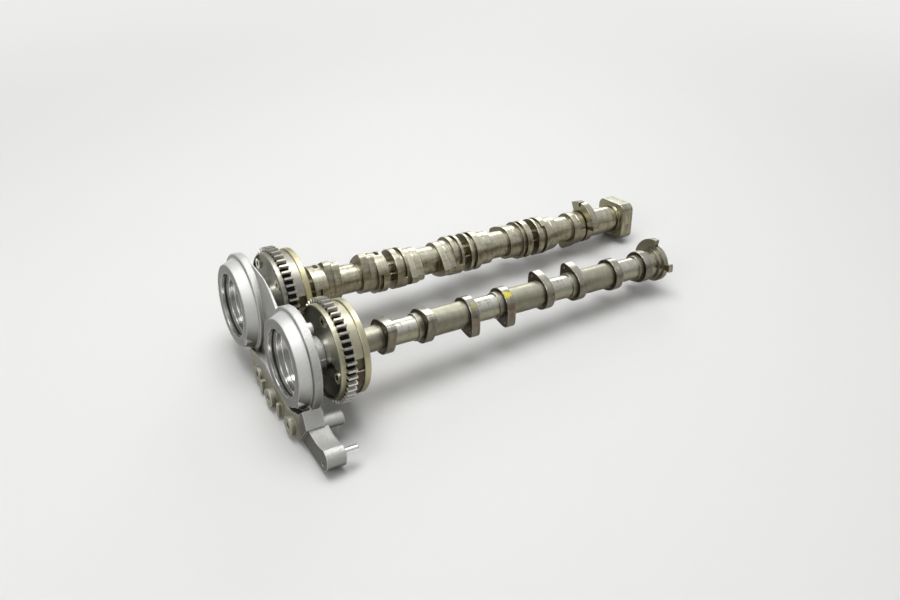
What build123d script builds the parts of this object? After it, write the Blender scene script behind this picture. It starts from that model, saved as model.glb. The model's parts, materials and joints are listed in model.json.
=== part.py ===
from build123d import *
import os
from math import cos, radians, sin

os.makedirs("parts", exist_ok=True)

# Camshaft set of a four-cylinder engine: a cast bearing bridge, an exhaust camshaft with fixed lobes and an
# intake camshaft with sliding lobe sleeves, each with its vane-type phaser and sprocket.
# Millimetres. +X runs along both shafts from the bridge to the rear, +Y from the exhaust to the intake shaft,
# +Z up. The origin is the centre of the exhaust ring's bore at its mouth.

# ---- whole set ----
shaft_spacing = 107.0          # exhaust axis to intake axis
cylinder_pitch = 88.0
cylinders = 4
intake_forward = 5.0           # the intake ring and phaser sit this much nearer the front
running_gap = 0.05             # radial clearance of a running fit
edge_break = 0.6

# ---- bearing bridge: rings ----
ring_front_radius = 38.3       # the front step is a cone that widens towards the rear
ring_front_rear_radius = 42.6
ring_front_length = 10.0
ring_rear_radius = 46.6
ring_length = 17.8
bore_radius = 30.0
bore_depth = 13.0
seal_groove_start = 3.4
seal_groove_width = 4.2
seal_groove_depth = 2.2
seal_side_gap = 0.1
seal_bore_radius = bore_radius + 0.3
journal_radius = 13.0          # the phaser valve's head, which runs in the bridge
boss_radius = 15.2
boss_end = 34.4
boss_ledge_height = 0.8        # the boss is this much fuller over its lower half
boss_ledge_start = 168.0
boss_ledge_end = 352.0
drain_radius = 1.7
drain_circle = 36.0
drain_angle = 214.5
drain_ear_radius = 5.5

# ---- bearing bridge: web, rail and arm; outlines are (y, z) ----
web_front = 9.0
web_rear = ring_length - intake_forward
web_sill = 18.0                # where the web's front starts to slope back to its crest
web_crest_width = 1.0
web_crest = [
    (30, 0), (33, 31.5), (50, 41), (shaft_spacing - 42, 45), (shaft_spacing - 5, ring_rear_radius - 0.8),
    (shaft_spacing - 5, 0),
]
floor_level = -62.0            # underside of the rail and of the arm's foot
web_outline = [
    (0, web_sill), (shaft_spacing, web_sill), (shaft_spacing, -34), (shaft_spacing - 14, -45),
    (shaft_spacing - 33, -54), (44, floor_level + 2), (-20, floor_level + 2), (-44, -44), (-38, -24),
    (0, -20),
]
rail_front = 2.0
rail_rear = 19.0
rail_outline = [
    (shaft_spacing - 14, -36), (shaft_spacing - 26, -50), (66, -59), (58, floor_level), (-30, floor_level),
    (-46, -40), (-38, -26), (-30, -34), (-14, -41), (8, -42), (30, -35), (46, -29),
]
rail_corner_radius = 3.0
arm_front = 4.6
arm_rear = 22.0
arm_root = -24.0
arm_tip = -81.0
arm_top = -41.0
foot_drop = 3.5                # the foot's rounding above the floor
foot_round = [
    (arm_tip + 11, floor_level), (arm_tip + 2.5, floor_level + foot_drop), (arm_tip, floor_level + 11),
]
arm_end_round = [foot_round[-1], (arm_tip + 1.5, arm_top - 4), (arm_tip + 8, arm_top)]
arm_dip = [arm_end_round[-1], (arm_tip + 23, arm_top - 2.6), (arm_tip + 37, arm_top)]
arm_shoulder = (arm_root - 10, arm_top + 7)
foot_hole_radius = 2.2
foot_hole_depth = 12.0
foot_hole_seat = (arm_tip + 9, floor_level + 6)
lug_radius = 8.5
lug_hole_radius = 3.4
lug_seats = [(62.0, -51.0, -0.5), (27.0, -53.0, -3.5), (-17.0, -53.0, -3.0)]  # y, z and x of the front face
strut_seats = [46.0, 7.0]      # y of the short uprights between the lugs
strut_front = -2.0
strut_width = 4.0
strut_height = 14.0
rear_boss_radius = 6.5
rear_boss_end = 37.0
rear_boss_seat = (-38.5, -42.5)
rear_boss_hole_depth = 10.0
boss_rib_width = 4.0
boss_rib_end = 33.0
oil_boss_radius = 5.0
oil_boss_circle = 42.0
oil_boss_angle = 114.0
oil_boss_height = 3.2
root_overlap = 2.0             # how far bosses reach into the casting they stand on
dowel_radius = 3.2
dowel_grip_radius = 2.9        # the part pressed into the arm
dowel_bore_radius = 2.0
dowel_seat = (-75.5, -47.0)
dowel_reach = 12.5
dowel_grip = 9.0

# ---- phasers, x from the ring's front face ----
sprocket_front = 35.5
lip_inner_radius = 40.6
tooth_root_radius = 42.3
tooth_tip_radius = 47.0
tooth_count = 44
tooth_band_start = 40.0
tooth_band_end = 48.8
tooth_land_share = 0.27        # tip width as a share of the tooth pitch
tooth_foot_share = 0.62
tooth_sink = 0.5               # how far the teeth start inside the root cylinder
drum_radius = 41.0
drum_end = 57.6
flange_radius = 42.4
phaser_end = 63.4
front_plate_front = 37.5
front_plate_thickness = 3.5
chamber_front = front_plate_front + front_plate_thickness
cavity_radius = 34.4
vane_count = 4
vane_pitch = 360.0 / vane_count
hub_radius = 20.0
hub_collar_front = front_plate_front + 0.2   # the hub shows in the front plate's hole
front_plate_hole_radius = hub_radius + 0.3
vane_half_angle = 8.0
stator_vane_half_angle = 21.0
phase_start_gap = 1.0          # degrees between a vane and its stop at rest
phaser_bolt_circle = 34.4
phaser_bolt_radius = 2.5
phaser_bolt_head_radius = 5.0
phaser_bolt_head_height = 2.0
phaser_bolt_first_angle = 99.0
phaser_bolt_grip = 3.2         # thread length in the rear cover
thread_run_out = 0.2
first_vane_angle = phaser_bolt_first_angle + stator_vane_half_angle + phase_start_gap + vane_half_angle
bolt_socket_radius = 2.6
bolt_socket_depth = 1.5
drum_notch_width = 11.0
drum_notch_depth = 2.0
exhaust_notch_angle = 170.5
intake_notch_angle = 164.5
intake_phaser_turn = -55.0
rotor_nose_radius = 15.0
rotor_nose_reach = 2.0         # behind the rear cover, where the shaft seats
lock_pin_radius = 3.0
lock_pin_front = chamber_front + 6.0
lock_pin_end_gap = 0.2
valve_front = 14.0
valve_mouth_radius = 7.0
valve_mouth_depth = 3.0
valve_head_end = boss_end + 1.0
valve_shank_radius = 9.0
valve_shank_end = 84.0
valve_end_wall = 8.0
spool_radius = 5.2
spool_front = valve_front + valve_mouth_depth
spool_end = valve_shank_end - 14.0
spool_mouth_radius = 2.0
spool_mouth_depth = 4.0
spool_groove_width = 6.0
spool_groove_depth = 1.6
spool_groove_count = 3
spool_groove_pitch = (spool_end - spool_front) / (spool_groove_count + 1)

# ---- exhaust camshaft ----
first_lobe_front = 91.4
lobe_pair_step = 40.3
exhaust_lobe_width = 9.0
exhaust_base_radius = 16.5
exhaust_lift = 7.0
exhaust_nose_radius = 6.5
lobe_flank_radius = 48.0
lobe_edge_break = 0.4
tube_radius = 13.0
exhaust_journal_radius = 11.6
tube_bore_radius = 8.0
journal_shoulder = 5.5         # full tube diameter kept in front of each pair's second lobe
last_lobe_end = first_lobe_front + (cylinders - 1) * cylinder_pitch + lobe_pair_step + exhaust_lobe_width
exhaust_end = last_lobe_end + 21.3
exhaust_nose_angles = [135.0, 225.0, 45.0, 315.0]
punch_radius = 1.4
punch_depth = 1.0
punch_reach = exhaust_base_radius + 2.2
exhaust_wheel_front = last_lobe_end + 13.3
exhaust_wheel_thickness = 5.5
exhaust_wheel_base_radius = 19.5
exhaust_wheel_tip_radius = 26.2
exhaust_wheel_sectors = [(8.0, 90.0), (160.0, 178.0)]
exhaust_hub_radius = 15.0
exhaust_hub_flange_radius = 17.3
exhaust_hub_start = last_lobe_end + 0.8
exhaust_hub_flange_start = exhaust_wheel_front - 4.5
end_plug_length = 6.0
end_plug_wall = 2.0

# ---- intake camshaft ----
sleeve_first_front = 70.0
sleeve_drum_length = 14.0
sleeve_lobe_width = 7.75
lobe_seam_width = 0.6          # grinding relief between the two profiles of a pair
lobe_seam_depth = 0.5
sleeve_journal_length = 22.5
sleeve_rear_drum_length = 12.0
sleeve_drum_radius = 20.6
sleeve_journal_radius = 14.4
sleeve_travel = 6.3
last_sleeve_end = (
    sleeve_first_front + (cylinders - 1) * cylinder_pitch
    + sleeve_drum_length + 4 * sleeve_lobe_width + sleeve_journal_length
)
groove_width = 4.4
groove_depth = 3.4
groove_step = 3.6
groove_first_start = 3.0       # from the drum's front edge
groove_runs = [(0.0, 60.0), (groove_step, 205.0)]  # axial shift and start angle of each run
groove_sweep = 150.0
intake_base_radius = 17.6
intake_lift = 8.6
intake_low_lift = 6.2
intake_nose_radius = 6.0
intake_nose_angles = [100.0, 190.0, 10.0, 280.0]
spline_tip_radius = 12.0
spline_root_radius = 11.0
spline_count = 12
spline_gap = 0.08
carrier_start = phaser_end - intake_forward + rotor_nose_reach
carrier_bore_radius = 5.0
collar_radius = 16.5
collar_length = 3.0
detent_ball_radius = 2.5
detent_ball_lift = 1.3         # how far the ball stands out of the shaft
detent_track_radius = 13.6
detent_side_gap = 1.0
detent_spring_wall = 0.8
detent_spring_gap = 0.2
intake_wheel_front = last_sleeve_end + 1.5
intake_wheel_thickness = 8.0
intake_wheel_base_radius = 18.5
intake_wheel_tip_radius = 28.5
intake_wheel_sectors = [(57.0, 145.0), (158.0, 170.0)]
wheel_slot_angle = 88.0
wheel_slot_width = 3.0
wheel_slot_depth = 5.0
rear_journal_radius = 15.3
rear_journal_start = intake_wheel_front + intake_wheel_thickness + 0.6
pump_cam_front = intake_wheel_front + 49.0
pump_cam_thickness = 15.5
pump_cam_flat = 20.8
pump_cam_corner_radius = 8.0
pump_cam_turn = -6.0
pump_boss_radius = 17.5
pump_boss_height = 2.5
tail_length = 1.5
intake_end = pump_cam_front + pump_cam_thickness + tail_length


def across(x, y=0.0, turn=0.0):
    """Plane normal to the shafts at x, centred on y; its local axes are Y and Z turned by some degrees."""
    return Plane(origin=(x, y, 0), x_dir=(0, cos(radians(turn)), sin(radians(turn))), z_dir=(1, 0, 0))


def polar(radius, angle):
    """Local (y, z) of a point at radius and angle, counted from +Y towards +Z."""
    return radius * cos(radians(angle)), radius * sin(radians(angle))


def keep(piece, name):
    """Label a finished piece and write its STEP."""
    piece.part.label = name
    export_step(piece.part, f"parts/{name}.step")
    return piece


def rims(piece, radius):
    """Circular edges of a piece that have the given radius."""
    return piece.edges().filter_by(GeomType.CIRCLE).filter_by(lambda edge: abs(edge.radius - radius) < 0.01)


def stack(steps, y=0.0, mode=Mode.ADD):
    """Coaxial discs in the current part, from (start, end, radius) rows."""
    for start, end, radius in steps:
        with BuildSketch(across(start, y)) as disc:
            Circle(radius)
        extrude(disc.sketch, amount=end - start, mode=mode)


def cone(start, end, start_radius, end_radius, y):
    """Truncated cone of the current part, coaxial with a shaft."""
    with BuildSketch(Plane.XZ.offset(-y)) as half:
        Polygon((start, 0), (start, start_radius), (end, end_radius), (end, 0), align=None)
    revolve(half.sketch, axis=Axis((start, y, 0), (1, 0, 0)))


def hole(x, depth, radius, y=0.0, z=0.0):
    """Round hole along +X from x, cut into the current part."""
    with BuildSketch(across(x, y)) as mouth:
        with Locations((0, z)):
            Circle(radius)
    extrude(mouth.sketch, amount=depth, mode=Mode.SUBTRACT)


def ring_sector(inner, outer, start, end, mode=Mode.ADD):
    """Part of a flat ring from start to end degrees, in the current sketch; inner radius 0 gives a slice."""
    middle = (start + end) / 2
    with BuildLine() as outline:
        ThreePointArc(polar(outer, start), polar(outer, middle), polar(outer, end))
        Line(polar(outer, end), polar(inner, end))
        if inner:
            ThreePointArc(polar(inner, end), polar(inner, middle), polar(inner, start))
        Line(polar(inner, start), polar(outer, start))
    make_face(outline.line.edges(), mode=mode)


def cam_outline(base_radius, lift, nose_radius, flank_radius):
    """Cam profile with its nose on local +Y: base arc, convex flanks tangent to both arcs, nose arc."""
    nose_y = base_radius + lift - nose_radius
    base_reach = flank_radius - base_radius
    nose_reach = flank_radius - nose_radius
    flank_y = (base_reach**2 - nose_reach**2 + nose_y**2) / (2 * nose_y)
    flank_x = (base_reach**2 - flank_y**2) ** 0.5
    centre = Vector(-flank_x, flank_y)
    on_base = (Vector(0, 0) - centre).normalized() * base_radius
    on_nose = Vector(0, nose_y) + (Vector(0, nose_y) - centre).normalized() * nose_radius
    crown = centre + ((on_base - centre) + (on_nose - centre)).normalized() * flank_radius
    left = [Vector(-p.X, p.Y) for p in (on_base, crown, on_nose)]
    with BuildLine() as outline:
        ThreePointArc(left[0], (0, -base_radius), on_base)
        ThreePointArc(on_base, crown, on_nose)
        ThreePointArc(on_nose, (0, nose_y + nose_radius), left[2])
        ThreePointArc(left[2], left[1], left[0])
    make_face(outline.line.edges())


def lobe_solid(front, width, y, angle, base_radius, lift, nose_radius):
    """One cam lobe in the current part, its nose at the given angle from +Y."""
    with BuildSketch(across(front, y, angle - 90)) as profile:
        cam_outline(base_radius, lift, nose_radius, lobe_flank_radius)
    extrude(profile.sketch, amount=width)


# ---- bearing bridge ----


def upright(outline, front, rear, corner_radius=0.0):
    """Plate of the current part with a (y, z) outline; its lowest corners may be rounded."""
    with BuildSketch(across(front)) as face:
        Polygon(*outline, align=None)
        if corner_radius:
            fillet(face.vertices().group_by(Axis.Y)[0], corner_radius)
    extrude(face.sketch, amount=rear - front)


def boss(front, rear, radius, seat):
    """Round boss of the current part around a (y, z) seat."""
    with BuildSketch(across(front)) as disc:
        with Locations(seat):
            Circle(radius)
    extrude(disc.sketch, amount=rear - front)


def bridge_web():
    """Web between the rings; above its sill the front slopes back to the crest that joins the rings."""
    with BuildPart() as web:
        upright(web_crest, web_front, web_rear)
        with BuildSketch(Plane.XZ.offset(-shaft_spacing)) as slope:
            crest_x = web_rear - web_crest_width
            Polygon(
                (web_front, web_sill), (web_front, ring_rear_radius), (crest_x, ring_rear_radius), align=None,
            )
        extrude(slope.sketch, amount=shaft_spacing, mode=Mode.SUBTRACT)
        upright(web_outline, web_front, web_rear)
    return web.part


def bearing_bridge():
    """Cast bridge: two rings with their rear bosses, the web between, the lower rail and the arm."""
    ring_seats = [(0.0, 0.0), (-intake_forward, shaft_spacing)]
    web = bridge_web()
    with BuildPart() as bridge:
        for x, y in ring_seats:
            stack(
                [
                    (x + ring_front_length, x + ring_length, ring_rear_radius),
                    (x + ring_length, x + boss_end, boss_radius),
                ],
                y,
            )
        chamfer(rims(bridge, ring_rear_radius), edge_break)
        for x, y in ring_seats:
            cone(x, x + ring_front_length, ring_front_radius, ring_front_rear_radius, y)
            drain_y, drain_z = polar(drain_circle, drain_angle)
            boss(x, x + ring_front_length, drain_ear_radius, (y + drain_y, drain_z))
            with BuildSketch(across(x + ring_length - root_overlap, y)) as ledge:
                ring_sector(0, boss_radius + boss_ledge_height, boss_ledge_start, boss_ledge_end)
            extrude(ledge.sketch, amount=boss_end - ring_length + root_overlap)
        add(web)
        # Lower rail that stands on the floor, its uprights and bolt lugs.
        upright(rail_outline, rail_front, rail_rear, rail_corner_radius)
        for y in strut_seats:
            strut = [(y, floor_level), (y + strut_width, floor_level)]
            strut += [(side, floor_level + strut_height) for side, _ in reversed(strut)]
            upright(strut, strut_front, rail_front)
        for y, z, front in lug_seats:
            boss(front, rail_rear, lug_radius, (y, z))
        # Arm and its rounded foot.
        with BuildSketch(across(arm_front)) as arm:
            with BuildLine():
                Polyline((arm_root, floor_level), foot_round[0])
                for bend in (foot_round, arm_end_round, arm_dip):
                    ThreePointArc(*bend)
                Polyline(arm_dip[-1], arm_shoulder, (arm_root, floor_level))
            make_face()
        extrude(arm.sketch, amount=arm_rear - arm_front)
        # Bosses that reach back beside the exhaust phaser, the lower one on a rib.
        boss(arm_front, rear_boss_end, rear_boss_radius, rear_boss_seat)
        boss(ring_length - root_overlap, ring_length + oil_boss_height, oil_boss_radius,
             polar(oil_boss_circle, oil_boss_angle))
        rib_y, rib_z = rear_boss_seat
        rib = [(rib_y - boss_rib_width / 2, rib_z), (rib_y - boss_rib_width / 2, floor_level + foot_drop)]
        rib += [(y + boss_rib_width, z) for y, z in reversed(rib)]
        upright(rib, rail_rear - root_overlap, boss_rib_end)
        # Bores, seal grooves, drain holes and bolt holes.
        for x, y in ring_seats:
            hole(x, bore_depth, bore_radius, y)
            hole(x + seal_groove_start, seal_groove_width, bore_radius + seal_groove_depth, y)
            hole(x, boss_end, journal_radius, y)
            drain_y, drain_z = polar(drain_circle, drain_angle)
            hole(x, ring_front_length, drain_radius, y + drain_y, drain_z)
        for y, z, front in lug_seats:
            hole(front, rail_rear - front, lug_hole_radius, y, z)
        hole(arm_front, foot_hole_depth, foot_hole_radius, *foot_hole_seat)
        hole(arm_rear - dowel_grip, dowel_grip, dowel_grip_radius, *dowel_seat)
        hole(rear_boss_end - rear_boss_hole_depth, rear_boss_hole_depth, foot_hole_radius, *rear_boss_seat)
    return keep(bridge, "bearing_bridge")


def dowel_sleeve():
    """Hollow stepped dowel pressed into the back of the arm."""
    with BuildPart() as dowel:
        boss(arm_rear, arm_rear + dowel_reach, dowel_radius, dowel_seat)
        chamfer(dowel.edges().group_by(Axis.X)[-1], edge_break)
        boss(arm_rear - dowel_grip, arm_rear, dowel_grip_radius, dowel_seat)
        hole(arm_rear - dowel_grip, dowel_grip + dowel_reach, dowel_bore_radius, *dowel_seat)
    return keep(dowel, "dowel_sleeve")


def bore_seal(name, x, y):
    """Rubber ring seated in a ring bore's groove, a little proud of the bore."""
    start = x + seal_groove_start + seal_side_gap
    width = seal_groove_width - 2 * seal_side_gap
    with BuildPart() as seal:
        with BuildSketch(across(start, y)):
            Circle(bore_radius + seal_groove_depth)
            Circle(seal_bore_radius, mode=Mode.SUBTRACT)
        extrude(amount=width)
        fillet(rims(seal, seal_bore_radius), edge_break)
    return keep(seal, name)


# ---- phasers ----


def sprocket_housing(name, x, y, turn, notch_angle):
    """Toothed drum with the chambers for the rotor's vanes; turn is the angle of bolts and vanes."""
    pitch = 360 / tooth_count
    with BuildPart() as housing:
        stack(
            [
                (x + sprocket_front, x + tooth_band_end, tooth_root_radius),
                (x + tooth_band_end, x + drum_end, drum_radius),
            ],
            y,
        )
        chamfer(housing.edges().group_by(Axis.X)[0], edge_break)
        with BuildSketch(across(x + tooth_band_start, y)):
            with PolarLocations(0, tooth_count, start_angle=turn):
                Polygon(
                    polar(tooth_root_radius - tooth_sink, -pitch * tooth_foot_share / 2),
                    polar(tooth_tip_radius, -pitch * tooth_land_share / 2),
                    polar(tooth_tip_radius, pitch * tooth_land_share / 2),
                    polar(tooth_root_radius - tooth_sink, pitch * tooth_foot_share / 2),
                    align=None,
                )
        extrude(amount=tooth_band_end - tooth_band_start)
        hole(x + sprocket_front, chamber_front - sprocket_front, lip_inner_radius, y)
        # Oil chambers: the free space between the stator vanes.
        with BuildSketch(across(x + chamber_front, y)):
            Circle(cavity_radius)
            for index in range(vane_count):
                middle = turn + phaser_bolt_first_angle + index * vane_pitch
                start, end = middle - stator_vane_half_angle, middle + stator_vane_half_angle
                ring_sector(0, drum_radius, start, end, mode=Mode.SUBTRACT)
            Circle(hub_radius + running_gap)
        extrude(amount=drum_end - chamber_front, mode=Mode.SUBTRACT)
        # Through holes for the bolts and the notch in the drum.
        for index in range(vane_count):
            angle = turn + phaser_bolt_first_angle + index * vane_pitch
            bolt_y, bolt_z = polar(phaser_bolt_circle, angle)
            hole(x + chamber_front, drum_end - chamber_front, phaser_bolt_radius, y + bolt_y, bolt_z)
        with BuildSketch(across(x + tooth_band_end, y, notch_angle)):
            with Locations((drum_radius, 0)):
                Rectangle(2 * drum_notch_depth, drum_notch_width)
        extrude(amount=drum_end - tooth_band_end, mode=Mode.SUBTRACT)
    return keep(housing, name)


def front_plate(name, x, y, turn):
    """Flat cover inside the sprocket's lip."""
    with BuildPart() as plate:
        with BuildSketch(across(x + front_plate_front, y)):
            Circle(lip_inner_radius)
            Circle(front_plate_hole_radius, mode=Mode.SUBTRACT)
            with PolarLocations(phaser_bolt_circle, vane_count, start_angle=turn + phaser_bolt_first_angle):
                Circle(phaser_bolt_radius, mode=Mode.SUBTRACT)
        extrude(amount=front_plate_thickness)
    return keep(plate, name)


def rear_cover(name, x, y, turn):
    """Flange that closes the chambers at the back, with blind threads for the bolts."""
    with BuildPart() as cover:
        with BuildSketch(across(x + drum_end, y)):
            Circle(flange_radius)
            Circle(rotor_nose_radius + running_gap, mode=Mode.SUBTRACT)
        extrude(amount=phaser_end - drum_end)
        chamfer(rims(cover, flange_radius), edge_break)
        for index in range(vane_count):
            angle = turn + phaser_bolt_first_angle + index * vane_pitch
            bolt_y, bolt_z = polar(phaser_bolt_circle, angle)
            hole(x + drum_end, phaser_bolt_grip + thread_run_out, phaser_bolt_radius, y + bolt_y, bolt_z)
    return keep(cover, name)


def phaser_bolts(name, x, y, turn):
    """Star-socket bolts that clamp front plate, housing and rear cover."""
    with BuildPart() as bolts:
        for index in range(vane_count):
            angle = turn + phaser_bolt_first_angle + index * vane_pitch
            bolt_y, bolt_z = polar(phaser_bolt_circle, angle)
            head = across(x + front_plate_front, y + bolt_y).offset(-phaser_bolt_head_height)
            with BuildSketch(head):
                with Locations((0, bolt_z)):
                    Circle(phaser_bolt_head_radius)
            extrude(amount=phaser_bolt_head_height)
            with BuildSketch(across(x + front_plate_front, y + bolt_y)):
                with Locations((0, bolt_z)):
                    Circle(phaser_bolt_radius)
            extrude(amount=drum_end + phaser_bolt_grip - front_plate_front)
            with BuildSketch(head):
                with Locations((0, bolt_z)):
                    RegularPolygon(bolt_socket_radius, 6)
                    RegularPolygon(bolt_socket_radius, 6, rotation=30)
            extrude(amount=bolt_socket_depth, mode=Mode.SUBTRACT)
    return keep(bolts, name)


def rotor(name, x, y, turn):
    """Hub with four vanes, bolted to the shaft's nose and free to swing in the housing."""
    with BuildPart() as rotor_body:
        stack([(x + hub_collar_front, x + drum_end - running_gap, hub_radius)], y)
        with BuildSketch(across(x + chamber_front + running_gap, y)):
            for index in range(vane_count):
                middle = turn + first_vane_angle + index * vane_pitch
                start, end = middle - vane_half_angle, middle + vane_half_angle
                ring_sector(hub_radius - root_overlap, cavity_radius - running_gap, start, end)
        extrude(amount=drum_end - chamber_front - 2 * running_gap)
        stack([(x + drum_end - root_overlap, x + phaser_end + rotor_nose_reach, rotor_nose_radius)], y)
        hub_seat = chamber_front + running_gap
        hole(x + hub_collar_front, hub_seat - hub_collar_front, rotor_nose_radius + running_gap, y)
        hole(x + chamber_front, phaser_end + rotor_nose_reach - chamber_front, valve_shank_radius, y)
        pin_y, pin_z = polar((hub_radius + cavity_radius) / 2, turn + first_vane_angle)
        hole(x + lock_pin_front, drum_end - lock_pin_front, lock_pin_radius, y + pin_y, pin_z)
    return keep(rotor_body, name)


def lock_pin(name, x, y, turn):
    """Spring-loaded pin in one vane that holds the phaser at its start position."""
    pin_y, pin_z = polar((hub_radius + cavity_radius) / 2, turn + first_vane_angle)
    with BuildPart() as pin:
        with BuildSketch(across(x + lock_pin_front, y + pin_y)):
            with Locations((0, pin_z)):
                Circle(lock_pin_radius)
        extrude(amount=drum_end - lock_pin_front - lock_pin_end_gap)
    return keep(pin, name)


def control_valve(name, x, y):
    """Central valve bolt: its head runs in the bridge, its shank clamps the rotor to the shaft."""
    with BuildPart() as valve:
        stack(
            [
                (x + valve_front, x + valve_head_end, journal_radius - running_gap),
                (x + valve_head_end, x + chamber_front, rotor_nose_radius),
                (x + chamber_front, x + valve_shank_end, valve_shank_radius),
            ],
            y,
        )
        chamfer(valve.edges().group_by(Axis.X)[0], edge_break)
        hole(x + valve_front, valve_shank_end - valve_end_wall - valve_front, spool_radius + running_gap, y)
        hole(x + valve_front, valve_mouth_depth, valve_mouth_radius, y)
    return keep(valve, name)


def valve_spool(name, x, y):
    """Sliding spool inside the valve, held by its clip."""
    with BuildPart() as spool:
        stack([(x + spool_front, x + spool_end, spool_radius)], y)
        hole(x + spool_front, spool_mouth_depth, spool_mouth_radius, y)
        for groove in range(1, spool_groove_count + 1):
            middle = x + spool_front + groove * spool_groove_pitch
            with BuildSketch(across(middle - spool_groove_width / 2, y)):
                Circle(spool_radius)
                Circle(spool_radius - spool_groove_depth, mode=Mode.SUBTRACT)
            extrude(amount=spool_groove_width, mode=Mode.SUBTRACT)
    return keep(spool, name)


# ---- exhaust camshaft ----


def exhaust_tube():
    """Hollow shaft, ground down at the journals between the lobes of each cylinder."""
    with BuildPart() as tube:
        stack([(phaser_end + rotor_nose_reach, first_lobe_front, exhaust_journal_radius)])
        for cylinder in range(cylinders):
            front = first_lobe_front + cylinder * cylinder_pitch
            journal_start = front + exhaust_lobe_width
            journal_end = front + lobe_pair_step - journal_shoulder
            next_front = front + cylinder_pitch if cylinder < cylinders - 1 else exhaust_end
            stack(
                [
                    (front, journal_start, tube_radius),
                    (journal_start, journal_end, exhaust_journal_radius),
                    (journal_end, next_front, tube_radius),
                ]
            )
        hole(phaser_end, valve_shank_end - phaser_end, valve_shank_radius)
        hole(valve_shank_end, exhaust_end - valve_shank_end, tube_bore_radius)
    return keep(tube, "exhaust_tube")


def exhaust_lobe(number, front, angle):
    """Pressed-on cam lobe with the small punch mark near its nose."""
    with BuildPart() as lobe:
        shape = exhaust_base_radius, exhaust_lift, exhaust_nose_radius
        lobe_solid(front, exhaust_lobe_width, 0, angle, *shape)
        chamfer(lobe.edges().group_by(Axis.X)[0] + lobe.edges().group_by(Axis.X)[-1], lobe_edge_break)
        hole(front, exhaust_lobe_width, tube_radius)
        punch_y, punch_z = polar(punch_reach, angle)
        hole(front, punch_depth, punch_radius, punch_y, punch_z)
    return keep(lobe, f"exhaust_lobe_{number}")


def exhaust_trigger_wheel():
    """Hub and sector wheel that the position sensor reads."""
    with BuildPart() as wheel:
        stack(
            [
                (exhaust_hub_start, exhaust_hub_flange_start, exhaust_hub_radius),
                (exhaust_hub_flange_start, exhaust_wheel_front, exhaust_hub_flange_radius),
            ]
        )
        with BuildSketch(across(exhaust_wheel_front)):
            Circle(exhaust_wheel_base_radius)
            for start, end in exhaust_wheel_sectors:
                ring_sector(0, exhaust_wheel_tip_radius, start, end)
        extrude(amount=exhaust_wheel_thickness)
        hole(exhaust_hub_start, exhaust_end - exhaust_hub_start, tube_radius)
    return keep(wheel, "exhaust_trigger_wheel")


def exhaust_end_plug():
    """Plug pressed into the tube's rear end."""
    with BuildPart() as plug:
        stack([(exhaust_end - end_plug_length, exhaust_end, tube_bore_radius)])
        hole(exhaust_end - end_plug_wall, end_plug_wall, tube_bore_radius - end_plug_wall)
    return keep(plug, "exhaust_end_plug")


# ---- intake camshaft ----


def splines(tip_radius, root_radius):
    """Splined outline with straight-sided teeth, in the current sketch."""
    half = 360 / spline_count / 4
    points = []
    for tooth in range(spline_count):
        middle = tooth * 360 / spline_count
        points += [
            polar(root_radius, middle - half * 1.25),
            polar(tip_radius, middle - half * 0.8),
            polar(tip_radius, middle + half * 0.8),
            polar(root_radius, middle + half * 1.25),
        ]
    Polygon(*points, align=None)


def detent_x(cylinder):
    """Place of a cylinder's detent ball, under the middle of its sleeve."""
    journal_start = sleeve_drum_length + 2 * sleeve_lobe_width
    return sleeve_first_front + cylinder * cylinder_pitch + journal_start + sleeve_journal_length / 2


def carrier_shaft():
    """Splined shaft that turns the sleeves, with its plain rear journal."""
    with BuildPart() as carrier:
        with BuildSketch(across(carrier_start, shaft_spacing)):
            splines(spline_tip_radius, spline_root_radius)
        extrude(amount=rear_journal_start - carrier_start)
        stack([(carrier_start, carrier_start + collar_length, collar_radius)], shaft_spacing)
        stack([(rear_journal_start, pump_cam_front, rear_journal_radius)], shaft_spacing)
        stack([(pump_cam_front, intake_end, spline_root_radius)], shaft_spacing)
        shank_length = valve_shank_end - intake_forward - carrier_start
        hole(carrier_start, shank_length, valve_shank_radius, shaft_spacing)
        hole(carrier_start, intake_end - carrier_start, carrier_bore_radius, shaft_spacing)
        for cylinder in range(cylinders):
            with BuildSketch(Plane.XY.offset(spline_tip_radius)):
                with Locations((detent_x(cylinder), shaft_spacing)):
                    Circle(detent_ball_radius + running_gap)
            extrude(amount=-(spline_tip_radius - carrier_bore_radius), mode=Mode.SUBTRACT)
    return keep(carrier, "carrier_shaft")


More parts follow.
